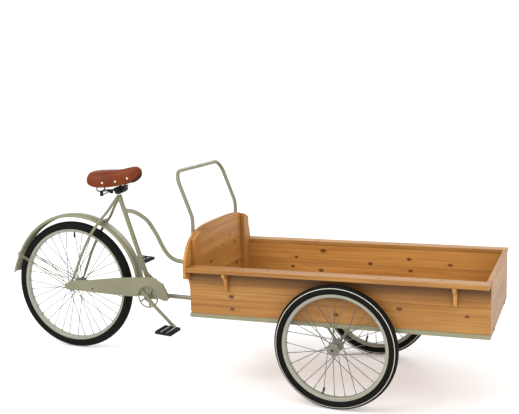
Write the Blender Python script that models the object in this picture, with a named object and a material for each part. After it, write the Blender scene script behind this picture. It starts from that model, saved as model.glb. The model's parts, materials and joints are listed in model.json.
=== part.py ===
"""Cargo tricycle: the rear half of a bicycle steers a long wooden box that stands on two front wheels.

Metres, +Z up, +X towards the box's front, +Y to the rider's left. The ground is Z = 0, and the
origin is on it, midway along the tricycle. Lengths inside the code are measured from the rear axle
(rear half) or from the front axle (box), through the empties that carry each group of pieces.
"""

from math import atan2, cos, hypot, pi, radians, sin

import bmesh
import bpy
from mathutils import Matrix, Vector

# ---- driving dimensions ----
REAR_AXLE_X = -0.8024
REAR_WHEEL_RADIUS = 0.300
FRONT_WHEEL_RADIUS = 0.2471
WHEELBASE = 1.3631
FRONT_TRACK = 0.722
BOX_PITCH = radians(1.31)
GAP = 0.0003
SPOKES = 36

# Rear half, from the point on the ground under the rear axle.
BRACKET_X = 0.4125
BRACKET_Z = 0.290
SEAT_TUBE_FOOT_X = 0.4032
SEAT_TUBE_LEAN = 0.366
SEAT_TUBE_TOP_Z = 0.735
STEERING_X = 0.685
HEAD_LOW_Z = 0.262
HEAD_HIGH_Z = 0.452
SEAT_TUBE_RADIUS = 0.0105
SWAN_RADIUS = 0.0095
LOWER_TUBE_RADIUS = 0.010
HEAD_RADIUS = 0.017
HEAD_BORE = 0.0086
SHELL_RADIUS = 0.019
SHELL_HALF = 0.034
STAY_RADIUS = 0.0065
CHAIN_STAY_RADIUS = 0.0070
POST_RADIUS = 0.0085
CRANK_LENGTH = 0.180
CRANK_ANGLE = radians(-42.2)
CRANK_IN_Y = 0.075
CRANK_THICK = 0.012
PEDAL_IN_Y = 0.093
PEDAL_WIDTH = 0.104
PEDAL_LENGTH = 0.076
PEDAL_HEIGHT = 0.014
PEDAL_TILT = radians(3)
PEDAL_PIN_RADIUS = 0.0042
CASE_OUT_Y = -0.072
CASE_DEPTH = 0.0115
CASE_WALL = 0.0015
GUARD_X = 0.016
GUARD_Z = 0.304
GUARD_RADIUS = 0.336
GUARD_HALF_WIDTH = 0.030
GUARD_DEPTH = 0.0155
GUARD_WALL = 0.0015

# Box, from the middle of the front axle, before the whole box is pitched about it.
BOX_REAR_X = -0.6306
BOX_FRONT_X = 0.5784
BOX_HALF_WIDTH = 0.325
BASE_LOW_Z = 0.0657
BASE_HEIGHT = 0.0178
RAIL_WIDTH = 0.025
REAR_BOARD_THICK = 0.012
WALL_THICK = 0.018
FLOOR_THICK = 0.015
SHELF_LOW_Z = 0.2621
SHELF_TOP_Z = 0.2803
SHELF_HALF_WIDTH = 0.372
EAR_LOW_Z = 0.2330
ARCH_FOOT_Z = 0.2729
ARCH_TOP_Z = 0.4279
ARCH_SEAM_Z = 0.3019
ARCH_FULLNESS = 4.0
BATTEN_WIDTH = 0.060
BRACKET_PLACES_X = (-0.4581, 0.4509)
HANDLE_HALF_WIDTH = 0.240
HANDLE_RADIUS = 0.008

SAGE = ("sage_paint", (0.40, 0.40, 0.29), 0.42, 0.0)
WOOD = ("fir_wood", (0.62, 0.33, 0.12), 0.55, 0.0)
RUBBER = ("black_rubber", (0.02, 0.02, 0.02), 0.75, 0.0)
RIM_PAINT = ("pale_rim_paint", (0.52, 0.51, 0.42), 0.40, 0.0)
STEEL = ("bright_steel", (0.60, 0.60, 0.58), 0.30, 1.0)
LEATHER = ("brown_leather", (0.33, 0.10, 0.03), 0.45, 0.0)
BLACK = ("black_enamel", (0.02, 0.02, 0.02), 0.40, 0.0)


# ---- small tools ----
def clear_scene():
    for obj in list(bpy.data.objects):
        bpy.data.objects.remove(obj, do_unlink=True)


def material_of(finish):
    name, colour, roughness, metallic = finish
    found = bpy.data.materials.get(name)
    if found:
        return found
    made = bpy.data.materials.new(name)
    made.use_nodes = True
    shader = made.node_tree.nodes["Principled BSDF"]
    shader.inputs["Base Color"].default_value = (*colour, 1.0)
    shader.inputs["Roughness"].default_value = roughness
    shader.inputs["Metallic"].default_value = metallic
    return made


def empty_at(name, location, parent=None, pitch=0.0):
    holder = bpy.data.objects.new(name, None)
    bpy.context.collection.objects.link(holder)
    holder.parent = parent
    holder.location = location
    holder.rotation_euler = (0.0, pitch, 0.0)
    return holder


def piece(name, bm, finish, parent, smooth=False):
    """Turn a bmesh into a named object with its own material."""
    bmesh.ops.recalc_face_normals(bm, faces=bm.faces)
    mesh = bpy.data.meshes.new(name)
    bm.to_mesh(mesh)
    bm.free()
    if smooth:
        mesh.shade_smooth()
        mesh.set_sharp_from_angle(angle=radians(35))
    mesh.materials.append(material_of(finish))
    obj = bpy.data.objects.new(name, mesh)
    bpy.context.collection.objects.link(obj)
    obj.parent = parent
    return obj


def helper(name, bm, parent):
    """A hidden shape that a Boolean joins to a piece or cuts from it."""
    obj = piece(name, bm, STEEL, parent)
    obj.hide_render = True
    obj.display_type = "WIRE"
    return obj


def boolean(obj, other, operation):
    modifier = obj.modifiers.new(operation.lower() + "_" + other.name, "BOOLEAN")
    modifier.operation = operation
    modifier.object = other


def block(low, high):
    bm = bmesh.new()
    bmesh.ops.create_cube(bm, size=1.0)
    size = Vector(high) - Vector(low)
    middle = (Vector(high) + Vector(low)) / 2
    for vertex in bm.verts:
        vertex.co = Vector(c * s for c, s in zip(vertex.co, size)) + middle
    return bm


def turned(profile, sides):
    """Turn (radius, y) points about the Y axis; a profile that starts and ends at radius 0 is a solid."""
    solid = profile[0][0] == 0.0
    bm = bmesh.new()
    rings = []
    for radius, y in profile:
        if radius == 0.0:
            rings.append([bm.verts.new((0.0, y, 0.0))] * sides)
            continue
        turns = [2 * pi * i / sides for i in range(sides)]
        rings.append([bm.verts.new((radius * cos(t), y, radius * sin(t))) for t in turns])
    pairs = list(zip(rings, rings[1:]))
    if not solid:
        pairs.append((rings[-1], rings[0]))
    for first, second in pairs:
        for i in range(sides):
            j = (i + 1) % sides
            corners = dict.fromkeys((first[i], first[j], second[j], second[i]))
            bm.faces.new(list(corners))
    return bm


def extruded(outline, low, high, axis="Y"):
    """Extrude an outline between two planes: (x, z) points along Y, or (y, z) points along X."""
    bm = bmesh.new()
    layers = []
    for depth in (low, high):
        if axis == "Y":
            layers.append([bm.verts.new((a, depth, b)) for a, b in outline])
        else:
            layers.append([bm.verts.new((depth, a, b)) for a, b in outline])
    bm.faces.new(layers[0])
    bm.faces.new(layers[1][::-1])
    count = len(outline)
    for i in range(count):
        j = (i + 1) % count
        bm.faces.new((layers[0][i], layers[0][j], layers[1][j], layers[1][i]))
    return bm


def swept(path, radius, sides):
    """A round bar along a path, with flat ends; its cross-section is carried along without twist."""
    points = [Vector(p) for p in path]
    bm = bmesh.new()
    tangents = []
    for i in range(len(points)):
        before = points[max(i - 1, 0)]
        after = points[min(i + 1, len(points) - 1)]
        tangents.append((after - before).normalized())
    side = tangents[0].orthogonal().normalized()
    rings = []
    for point, tangent in zip(points, tangents):
        side = (side - tangent * side.dot(tangent)).normalized()
        up = tangent.cross(side)
        turns = [2 * pi * i / sides for i in range(sides)]
        rings.append([bm.verts.new(point + radius * (cos(t) * side + sin(t) * up)) for t in turns])
    for first, second in zip(rings, rings[1:]):
        for i in range(sides):
            j = (i + 1) % sides
            bm.faces.new((first[i], first[j], second[j], second[i]))
    bm.faces.new(rings[0][::-1])
    bm.faces.new(rings[-1])
    return bm


def smooth_path(knots, steps):
    """Points on a Catmull-Rom curve through the knots."""
    knots = [Vector(k) for k in knots]
    ends = [2 * knots[0] - knots[1]] + knots + [2 * knots[-1] - knots[-2]]
    path = []
    for i in range(1, len(ends) - 2):
        a, b, c, d = ends[i - 1 : i + 3]
        for step in range(steps):
            t = step / steps
            straight = 2 * b + (c - a) * t
            bend = (2 * a - 5 * b + 4 * c - d) * t**2 + (3 * b - a - 3 * c + d) * t**3
            path.append((straight + bend) / 2)
    return path + [knots[-1]]


def rounded_path(corners, radii, steps=5):
    """A path of straight runs with an arc of the given radius at each inner corner."""
    corners = [Vector(c) for c in corners]
    path = [corners[0]]
    for before, corner, after, radius in zip(corners, corners[1:], corners[2:], radii):
        towards = (before - corner).normalized()
        away = (after - corner).normalized()
        half = towards.angle(away) / 2
        reach = radius * cos(half) / sin(half)
        centre = corner + (towards + away).normalized() * radius / sin(half)
        start = corner + towards * reach - centre
        finish = corner + away * reach - centre
        for step in range(steps + 1):
            path.append(centre + start.slerp(finish, step / steps) * radius)
    return path + [corners[-1]]


def bore(obj, name, radius, low, high, parent, sides=16, spot=(0.0, 0.0)):
    """Cut a round hole along Y, centred at (x, z) = spot in the parent's own space."""
    bm = turned([(0.0, low), (radius, low), (radius, high), (0.0, high)], sides)
    bmesh.ops.translate(bm, verts=bm.verts, vec=(spot[0], 0.0, spot[1]))
    boolean(obj, helper(name, bm, parent), "DIFFERENCE")


def stand_up(bm):
    """Turn a shape made along Y so that it runs along Z."""
    bmesh.ops.rotate(bm, verts=bm.verts, matrix=Matrix.Rotation(radians(90), 3, "X"))
    return bm


def mirrored(points, side):
    return [(x, side * y, z) for x, y, z in points]


SIDES = (("right", -1), ("left", 1))


# ---- wheels ----
def tyre_profile(radius):
    half = [(-0.0425, 0.0095), (-0.0352, 0.0124), (-0.0349, 0.0162), (-0.0185, 0.0200), (-0.0050, 0.0140)]
    inner = [(-0.0040, 0.0), (-0.0200, -0.0165), (-0.0425, -0.0065)]
    section = [(r, -y) for r, y in half] + [(0.0, 0.0)] + half[::-1]
    section += [(-0.0425, 0.0065), (-0.0200, 0.0165)] + inner
    return [(radius + r, y) for r, y in section]


def rim_profile(radius):
    half = [(-0.0500, 0.0050), (-0.0480, 0.0110), (-0.0355, 0.0146), (-0.0355, 0.0131), (-0.0460, 0.0088)]
    return [(radius + r, -y) for r, y in half] + [(radius + r, y) for r, y in half[::-1]]


def spoke_bars(radius, flange_y, flange_radius, count):
    """Crossed straight spokes; those on a flange's outer face lean one way, the others the other way."""
    bm = bmesh.new()
    rim_radius = radius - 0.0518
    spoke_radius = 0.0009
    lean = radians(62)
    for k in range(count):
        side = 1 if k % 2 else -1
        inner_face = 1 if (k // 2) % 2 else -1
        at_rim = 2 * pi * k / count
        at_hub = at_rim + inner_face * lean
        hub_y = side * (flange_y + inner_face * 0.0021)
        hub_r = flange_radius - 0.003
        start = Vector((hub_r * cos(at_hub), hub_y, hub_r * sin(at_hub)))
        finish = Vector((rim_radius * cos(at_rim), side * 0.003, rim_radius * sin(at_rim)))
        bar = swept([start, finish], spoke_radius, 3)
        mesh = bpy.data.meshes.new("spoke")
        bar.to_mesh(mesh)
        bar.free()
        bm.from_mesh(mesh)
        bpy.data.meshes.remove(mesh)
    return bm


def hub_profile(half_length, flange_y, flange_radius, bore_radius):
    flange = 0.0016
    barrel = 0.0125
    half = [
        (bore_radius, half_length),
        (0.0155, half_length),
        (0.0155, flange_y + flange),
        (flange_radius, flange_y + flange),
        (flange_radius, flange_y - flange),
        (barrel, flange_y - 0.006),
    ]
    return [(r, -y) for r, y in half] + [(r, y) for r, y in half[::-1]]


def build_wheel(name, parent, radius, half_length, flange_y, flange_radius):
    """Tyre, rim, and a hub with its spokes, all turned about the parent's Y axis."""
    piece(name + "_tyre", turned(tyre_profile(radius), 32), RUBBER, parent, smooth=True)
    piece(name + "_rim", turned(rim_profile(radius), 32), RIM_PAINT, parent, smooth=True)
    profile = hub_profile(half_length, flange_y, flange_radius, 0.0058)
    hub = piece(name + "_hub", turned(profile, 16), STEEL, parent, smooth=True)
    bars = spoke_bars(radius, flange_y, flange_radius, SPOKES)
    boolean(hub, helper(name + "_spokes", bars, parent), "UNION")


def build_sprocket(parent):
    """A ring with twelve teeth, pushed over the rear hub's right-hand end."""
    teeth = 12
    outline = []
    for tooth in range(teeth):
        for step, radius in ((0.0, 0.0205), (0.3, 0.0205), (0.5, 0.0240), (0.8, 0.0240)):
            turn = 2 * pi * (tooth + step) / teeth
            outline.append((radius * cos(turn), radius * sin(turn)))
    sprocket = piece("rear_sprocket", extruded(outline, -0.0440, -0.0410), STEEL, parent)
    bore(sprocket, "sprocket_bore", 0.0160, -0.05, -0.03, parent)


# ---- rear half ----
def build_tubes(frame, steering):
    knots = [(0.2880, 0.6655), (0.3000, 0.6650), (0.3220, 0.6600), (0.3555, 0.6440), (0.3875, 0.6200)]
    knots += [(0.4270, 0.5640), (0.4520, 0.5180), (0.4755, 0.4840), (0.5000, 0.4630), (0.5270, 0.4525)]
    knots += [(0.5540, 0.4490), (STEERING_X - HEAD_RADIUS - 0.003, 0.4320)]
    path = smooth_path([(x, 0.0, z) for x, z in knots], 3)
    piece("swan_tube", swept(path, SWAN_RADIUS, 10), SAGE, frame, smooth=True)
    start = (BRACKET_X + SHELL_RADIUS + GAP, 0.0, 0.2860)
    finish = (STEERING_X - HEAD_RADIUS - GAP, 0.0, 0.2860)
    piece("lower_tube", swept([start, finish], LOWER_TUBE_RADIUS, 12), SAGE, frame, smooth=True)
    profile = [(HEAD_BORE, HEAD_LOW_Z), (HEAD_RADIUS, HEAD_LOW_Z), (HEAD_RADIUS, HEAD_HIGH_Z)]
    profile.append((HEAD_BORE, HEAD_HIGH_Z))
    piece("head_tube", stand_up(turned(profile, 16)), SAGE, steering, smooth=True)


def build_seat_tube(seat_line):
    """The seat tube, open at its top for the post; seat_line's Z axis runs up the tube."""
    top = (SEAT_TUBE_TOP_Z - BRACKET_Z) * hypot(1.0, SEAT_TUBE_LEAN)
    bore_radius = POST_RADIUS + 0.0003
    foot = SHELL_RADIUS + GAP
    profile = [(0.0, foot), (SEAT_TUBE_RADIUS, foot), (SEAT_TUBE_RADIUS, top)]
    profile += [(bore_radius, top), (bore_radius, top - 0.175), (0.0, top - 0.175)]
    piece("seat_tube", stand_up(turned(profile, 16)), SAGE, seat_line, smooth=True)
    return top


def build_bottom_bracket(crank_axis):
    bearing = 0.0080
    profile = [(bearing, -SHELL_HALF), (SHELL_RADIUS, -SHELL_HALF)]
    profile += [(SHELL_RADIUS, SHELL_HALF), (bearing, SHELL_HALF)]
    piece("bottom_bracket_shell", turned(profile, 20), SAGE, crank_axis, smooth=True)


def build_stays(frame, side_name, side):
    top_knots = [(0.2270, 0.0155, 0.7130), (0.2180, 0.0160, 0.7000), (0.1920, 0.0270, 0.6600)]
    top_knots += [(0.1650, 0.0430, 0.6215), (0.1120, 0.0460, 0.5490), (0.0660, 0.0470, 0.4600)]
    top_knots += [(0.0300, 0.0500, 0.3710), (0.0100, 0.0515, 0.3225)]
    path = smooth_path(mirrored(top_knots, side), 2)
    piece("seat_stay_" + side_name, swept(path, STAY_RADIUS, 8), SAGE, frame, smooth=True)
    low_knots = [(0.3870, 0.0240, 0.2900), (0.3400, 0.0300, 0.2910), (0.0500, 0.0525, 0.2980)]
    stay = swept(mirrored(low_knots, side), CHAIN_STAY_RADIUS, 8)
    stay = piece("chain_stay_" + side_name, stay, SAGE, frame, smooth=True)
    outline = [(0.060, 0.2920), (0.060, 0.3040), (0.012, 0.3130), (-0.012, 0.3115)]
    outline += [(-0.018, 0.3000), (-0.012, 0.2885), (0.012, 0.2860)]
    faces_y = sorted((side * 0.0515, side * 0.0555))
    dropout = helper("dropout_" + side_name, extruded(outline, *faces_y), frame)
    boolean(stay, dropout, "UNION")
    ends = sorted((side * 0.045, side * 0.062))
    bore(stay, "dropout_bore_" + side_name, 0.0055, *ends, frame, spot=(0.0, REAR_WHEEL_RADIUS))


def build_stay_bridge(frame):
    ends = mirrored([(0.1625, 0.0335, 0.6160)], -1) + [(0.1625, 0.0335, 0.6160)]
    piece("stay_bridge", swept(ends, 0.005, 8), SAGE, frame, smooth=True)


def build_rear_axle(axle):
    """A rod through the hub and both dropouts, with a nut outside each dropout."""
    half = [(0.0, 0.0695), (0.0048, 0.0695), (0.0048, 0.0640), (0.0090, 0.0635), (0.0090, 0.0562)]
    half.append((0.0048, 0.0560))
    profile = [(r, -y) for r, y in half] + [(r, y) for r, y in half[::-1]]
    piece("rear_axle", turned(profile, 12), STEEL, axle, smooth=True)


def guard_point(turn, depth, y):
    """A point on the mudguard: its tail flares out a little over the last stretch."""
    flare = 0.011 * max(0.0, (turn - radians(150)) / radians(24)) ** 2
    radius = GUARD_RADIUS + flare - depth
    return (GUARD_X + radius * cos(turn), y, GUARD_Z + radius * sin(turn))


def build_mudguard(frame):
    """A deep channel swept over the rear tyre, from behind the seat tube to its tail."""
    w = GUARD_HALF_WIDTH
    t = GUARD_WALL
    outer = [(GUARD_DEPTH, w), (0.007, w - 0.002), (0.0, w - 0.014)]
    inner = [(t, w - 0.0147), (0.008, w - 0.002 - t), (GUARD_DEPTH, w - t)]
    right = [(depth, -y) for depth, y in outer]
    section = right + outer[::-1] + inner[::-1] + [(depth, -y) for depth, y in inner]
    steps = 22
    first = radians(4)
    last = radians(174.5)
    bm = bmesh.new()
    rings = []
    for i in range(steps + 1):
        turn = first + (last - first) * i / steps
        rings.append([bm.verts.new(guard_point(turn, depth, y)) for depth, y in section])
    count = len(section)
    for a, b in zip(rings, rings[1:]):
        for i in range(count):
            j = (i + 1) % count
            bm.faces.new((a[i], a[j], b[j], b[i]))
    bm.faces.new(rings[0][::-1])
    bm.faces.new(rings[-1])
    piece("mudguard", bm, SAGE, frame, smooth=True)


def build_guard_stay(frame, side_name, side):
    """A doubled wire from the axle to the mudguard's tail, bent round at the guard."""
    axle_low = (-0.0215, 0.0540, 0.3035)
    axle_high = (-0.0180, 0.0540, 0.3160)
    tail_low = (-0.2944, 0.0328, 0.4295)
    tail_high = (-0.2912, 0.0328, 0.4365)
    corners = mirrored([axle_low, tail_low, tail_high, axle_high], side)
    path = rounded_path(corners, [0.0032, 0.0032], steps=3)
    piece("mudguard_stay_" + side_name, swept(path, 0.0022, 6), STEEL, frame, smooth=True)


def case_top_edge():
    """The chain case's edge from its rear tip, over the top, to its front underside."""
    knots = [(-0.0200, 0.3030), (-0.0020, 0.3210), (0.0245, 0.3330), (0.1060, 0.3420), (0.2800, 0.3680)]
    knots += [(0.4300, 0.3800), (0.4630, 0.3680), (0.4860, 0.3520), (0.5040, 0.3230), (0.5160, 0.2910)]
    return [(x, z) for x, y, z in smooth_path([(x, 0.0, z) for x, z in knots], 2)]


def build_chain_case(frame):
    """A thin plate over the drive side with a rim turned inwards along its top and its front."""
    edge = case_top_edge()
    notch_radius = 0.0505
    notch_z = BRACKET_Z
    notch = []
    for i in range(9):
        turn = pi * i / 8
        notch.append((BRACKET_X + notch_radius * cos(turn), notch_z + notch_radius * sin(turn)))
    outline = edge + [(0.5100, 0.2810), (0.4850, 0.2810)] + notch
    outline += [(0.3560, 0.2880), (0.2780, 0.2855), (0.1290, 0.2885), (-0.0080, 0.2925)]
    plate = extruded(outline, CASE_OUT_Y, CASE_OUT_Y + CASE_WALL)
    case = piece("chain_case", plate, SAGE, frame)
    inside = offset_path(edge, CASE_WALL)
    rim = extruded(edge + inside[::-1], CASE_OUT_Y + 0.0005, CASE_OUT_Y + CASE_DEPTH)
    boolean(case, helper("chain_case_rim", rim, frame), "UNION")


def offset_path(points, distance):
    """The path moved to its right-hand side by a distance, with mitred corners."""
    moved = []
    for i, point in enumerate(points):
        before = points[max(i - 1, 0)]
        after = points[min(i + 1, len(points) - 1)]
        normals = []
        for a, b in ((before, point), (point, after)):
            length = hypot(b[0] - a[0], b[1] - a[1])
            if length:
                normals.append(Vector(((b[1] - a[1]) / length, -(b[0] - a[0]) / length)))
        mean = (normals[0] + normals[-1]).normalized()
        moved.append(Vector(point) + mean * distance / mean.dot(normals[0]))
    return [tuple(p) for p in moved]


# ---- cranks and pedals ----
def build_chainwheel(crank_axis):
    """A ring on five arms round a boss, all one plate."""
    low = -0.0680
    high = -0.0645
    ring = [(0.0445, low), (0.0502, low), (0.0502, high), (0.0445, high)]
    wheel = piece("chainwheel", turned(ring, 30), SAGE, crank_axis)
    boss = [(0.0078, low), (0.0165, low), (0.0165, high), (0.0078, high)]
    boolean(wheel, helper("chainwheel_boss", turned(boss, 16), crank_axis), "UNION")
    for arm in range(5):
        bm = block((0.0145, low + 0.0004, -0.0042), (0.0465, high - 0.0004, 0.0042))
        turn = 2 * pi * arm / 5 + radians(6)
        bmesh.ops.rotate(bm, verts=bm.verts, matrix=Matrix.Rotation(turn, 3, "Y"))
        boolean(wheel, helper(f"chainwheel_arm_{arm + 1}", bm, crank_axis), "UNION")


def crank_outline(side):
    """A bar that tapers from its boss to the pedal end; the left crank points the other way."""
    angle = CRANK_ANGLE if side < 0 else CRANK_ANGLE + pi
    outline = []
    for centre, radius, start in ((0.0, 0.0145, 90), (CRANK_LENGTH, 0.0100, -90)):
        for step in range(9):
            turn = radians(start + 180 * step / 8)
            squash = 0.0078 / radius if step in (0, 8) else 1.0
            x = centre + radius * cos(turn)
            z = radius * sin(turn) * squash
            outline.append((x * cos(angle) - z * sin(angle), x * sin(angle) + z * cos(angle)))
    return outline


def pedal_spot(side):
    angle = CRANK_ANGLE if side < 0 else CRANK_ANGLE + pi
    return (CRANK_LENGTH * cos(angle), 0.0, CRANK_LENGTH * sin(angle))


def build_cranks(crank_axis):
    half = CRANK_IN_Y - GAP
    spindle = turned([(0.0, -half), (0.0075, -half), (0.0075, half), (0.0, half)], 12)
    piece("crank_spindle", spindle, STEEL, crank_axis, smooth=True)
    for side_name, side in SIDES:
        faces_y = sorted((side * CRANK_IN_Y, side * (CRANK_IN_Y + CRANK_THICK)))
        arm = extruded(crank_outline(side), *faces_y)
        arm = piece("crank_arm_" + side_name, arm, SAGE, crank_axis)
        ends = sorted((side * (CRANK_IN_Y + 0.004), side * (PEDAL_IN_Y + 0.090)))
        r = PEDAL_PIN_RADIUS
        pin = turned([(0.0, ends[0]), (r, ends[0]), (r, ends[1]), (0.0, ends[1])], 12)
        spot = pedal_spot(side)
        bmesh.ops.translate(pin, verts=pin.verts, vec=spot)
        boolean(arm, helper("pedal_pin_" + side_name, pin, crank_axis), "UNION")


def build_pedal(pedal_axis, side_name, side):
    """A block with two long slots, bored from its inner end to turn on the crank's pin."""
    faces_y = sorted((side * PEDAL_IN_Y, side * (PEDAL_IN_Y + PEDAL_WIDTH)))
    x = PEDAL_LENGTH / 2
    z = PEDAL_HEIGHT / 2
    bm = block((-x, faces_y[0], -z), (x, faces_y[1], z))
    pedal = piece("pedal_" + side_name, bm, BLACK, pedal_axis)
    middle = side * (PEDAL_IN_Y + PEDAL_WIDTH / 2)
    for end in (-1, 1):
        low = (end * 0.0145 - 0.0038, middle - 0.048, -0.02)
        high = (end * 0.0145 + 0.0038, middle + 0.048, 0.02)
        slot = helper(f"pedal_slot_{side_name}_{end + 2}", block(low, high), pedal_axis)
        boolean(pedal, slot, "DIFFERENCE")
    ends = sorted((side * (PEDAL_IN_Y - 0.01), side * (PEDAL_IN_Y + 0.0915)))
    bore(pedal, "pedal_bore_" + side_name, PEDAL_PIN_RADIUS + 0.0004, *ends, pedal_axis)


# ---- saddle ----
SADDLE_STATIONS = (
    # distance from the rear axle, half width, crown height, skirt height
    (0.107, 0.050, 0.836, 0.812),
    (0.116, 0.072, 0.843, 0.796),
    (0.140, 0.084, 0.846, 0.780),
    (0.175, 0.081, 0.849, 0.775),
    (0.215, 0.067, 0.852, 0.777),
    (0.250, 0.050, 0.8557, 0.781),
    (0.285, 0.037, 0.862, 0.789),
    (0.318, 0.029, 0.8695, 0.803),
    (0.343, 0.021, 0.869, 0.822),
    (0.3580, 0.010, 0.856, 0.842),
)


def saddle_section(half, crown, skirt, wall):
    """Half of an arched section, from its skirt to its crown, set in by the wall thickness."""
    drop = crown - skirt
    points = ((1.0, 0.0), (0.99, 0.45), (0.84, 0.80), (0.45, 0.96), (0.0, 1.0))
    low = skirt
    return [(across * (half - wall), low + up * (drop - wall)) for across, up in points]


def build_saddle(frame):
    """A leather top open underneath, wide behind and narrow at its nose."""
    bm = bmesh.new()
    rings = []
    for x, half, crown, skirt in SADDLE_STATIONS:
        outer = saddle_section(half, crown, skirt, 0.0)
        inner = saddle_section(half, crown, skirt, 0.005)
        section = [(-y, z) for y, z in outer] + [(y, z) for y, z in outer[-2::-1]]
        section += [(y, z) for y, z in inner] + [(-y, z) for y, z in inner[-2::-1]]
        rings.append([bm.verts.new((x, y, z)) for y, z in section])
    count = len(rings[0])
    for a, b in zip(rings, rings[1:]):
        for i in range(count):
            j = (i + 1) % count
            bm.faces.new((a[i], a[j], b[j], b[i]))
    half = count // 2
    for ring in (rings[0], rings[-1]):
        for i in range(half - 1):
            bm.faces.new((ring[i], ring[i + 1], ring[count - 2 - i], ring[count - 1 - i]))
    piece("saddle_cover", bm, LEATHER, frame, smooth=True)


def build_saddle_rails(frame):
    """One bent wire: up into the nose, back past the clamp on both sides, and up under the cantle."""
    half = [(0.160, 0.050, 0.800), (0.146, 0.040, 0.763), (0.150, 0.0260, 0.7540), (0.200, 0.0240, 0.7555)]
    half += [(0.285, 0.0240, 0.7760), (0.318, 0.014, 0.810), (0.328, 0.0, 0.824)]
    knots = half + mirrored(half[-2::-1], -1)
    piece("saddle_rails", swept(smooth_path(knots, 2), 0.0035, 6), BLACK, frame, smooth=True)


def build_seat_clamp(frame):
    """A squat block on top of the post, narrower than the space between the rails."""
    outline = [(0.2300, 0.7450), (0.2410, 0.7415), (0.2570, 0.7470), (0.2735, 0.7550), (0.2785, 0.7640)]
    outline += [(0.2785, 0.7770), (0.2230, 0.7770), (0.2225, 0.7600)]
    piece("seat_clamp", extruded(outline, -0.0195, 0.0195), BLACK, frame)


# ---- box ----
def arch_z(y):
    """Height of the rear board's rounded top at a distance from the middle."""
    across = min(abs(y) / SHELF_HALF_WIDTH, 1.0)
    return ARCH_FOOT_Z + (ARCH_TOP_Z - ARCH_FOOT_Z) * (1.0 - across**ARCH_FULLNESS) ** 0.5


def arch_outline(low_z):
    """Upper board: from its lower corner round the arch to the other corner."""
    steps = 20
    outline = [(-SHELF_HALF_WIDTH, low_z)]
    for i in range(steps + 1):
        y = -SHELF_HALF_WIDTH * cos(pi * i / steps)
        if arch_z(y) > low_z:
            outline.append((y, arch_z(y)))
    outline.append((SHELF_HALF_WIDTH, low_z))
    return clip_to_arch(outline, low_z)


def clip_to_arch(outline, low_z):
    """Move the lower corners in to where the arch crosses low_z."""
    share = (low_z - ARCH_FOOT_Z) / (ARCH_TOP_Z - ARCH_FOOT_Z)
    if share <= 0.0:
        return outline
    corner = SHELF_HALF_WIDTH * (1.0 - share**2) ** (1 / ARCH_FULLNESS)
    return [(-corner, low_z)] + outline[1:-1] + [(corner, low_z)]


def lower_rear_outline(low_z, high_z):
    """Lower board: narrow sides, a hollow curve out to each ear, then the foot of the arch."""
    right = [(-0.3040, low_z), (-0.3065, 0.1750), (-0.3090, 0.1890), (-0.3130, 0.2010), (-0.3190, 0.2120)]
    right += [(-0.3270, 0.2210), (-0.3380, 0.2290), (-0.3420, EAR_LOW_Z)]
    right += [(-SHELF_HALF_WIDTH, EAR_LOW_Z), (-SHELF_HALF_WIDTH, ARCH_FOOT_Z)]
    share = (high_z - ARCH_FOOT_Z) / (ARCH_TOP_Z - ARCH_FOOT_Z)
    for part in (0.5, 1.0):
        y = SHELF_HALF_WIDTH * (1.0 - (share * part) ** 2) ** (1 / ARCH_FULLNESS)
        right.append((-y, ARCH_FOOT_Z + (high_z - ARCH_FOOT_Z) * part))
    return right + [(-y, z) for y, z in right[::-1]]


def build_rear_boards(box):
    low = BASE_LOW_Z + BASE_HEIGHT + GAP
    seam = ARCH_SEAM_Z
    faces_x = (BOX_REAR_X, BOX_REAR_X + REAR_BOARD_THICK)
    outline = lower_rear_outline(low, seam)
    piece("rear_board_lower", extruded(outline, *faces_x, axis="X"), WOOD, box)
    outline = arch_outline(seam + GAP)
    piece("rear_board_upper", extruded(outline, *faces_x, axis="X"), WOOD, box)


def build_front_board(box):
    """A board between the two walls that also covers the ends of the floor and the front crossbar."""
    wide = BOX_HALF_WIDTH - WALL_THICK - GAP
    narrow = BOX_HALF_WIDTH - RAIL_WIDTH - GAP
    deck = BASE_LOW_Z + BASE_HEIGHT + GAP
    right = [(-narrow, BASE_LOW_Z), (-narrow, deck), (-wide, deck), (-wide, SHELF_TOP_Z)]
    outline = right + [(-y, z) for y, z in right[::-1]]
    board = extruded(outline, BOX_FRONT_X - WALL_THICK, BOX_FRONT_X, axis="X")
    piece("front_board", board, WOOD, box)


def sided_block(side, low, high):
    """A block given for the left side, or its mirror image for the right."""
    y = sorted((side * low[1], side * high[1]))
    return block((low[0], y[0], low[2]), (high[0], y[1], high[2]))


def build_walls(box, side_name, side):
    """One side: wall, overhanging shelf, and the batten that ties the wall to the rear board."""
    rear_x = BOX_REAR_X + REAR_BOARD_THICK + GAP
    deck_z = BASE_LOW_Z + BASE_HEIGHT + GAP
    out_y = BOX_HALF_WIDTH
    in_y = BOX_HALF_WIDTH - WALL_THICK
    wall = sided_block(side, (rear_x, in_y, deck_z), (BOX_FRONT_X, out_y, SHELF_LOW_Z - GAP))
    piece("side_wall_" + side_name, wall, WOOD, box)
    shelf_end = (BOX_FRONT_X - 0.0015, SHELF_HALF_WIDTH, SHELF_TOP_Z)
    shelf = sided_block(side, (rear_x, in_y, SHELF_LOW_Z), shelf_end)
    piece("shelf_" + side_name, shelf, WOOD, box)
    foot = deck_z
    edge = in_y - GAP
    outline = [(side * edge, foot)]
    for y in (edge, in_y - BATTEN_WIDTH / 2, in_y - BATTEN_WIDTH):
        outline.append((side * y, arch_z(y) - 0.002))
    outline.append((side * (in_y - BATTEN_WIDTH), foot))
    batten = extruded(outline, rear_x, rear_x + WALL_THICK, axis="X")
    piece("rear_batten_" + side_name, batten, WOOD, box)


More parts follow.
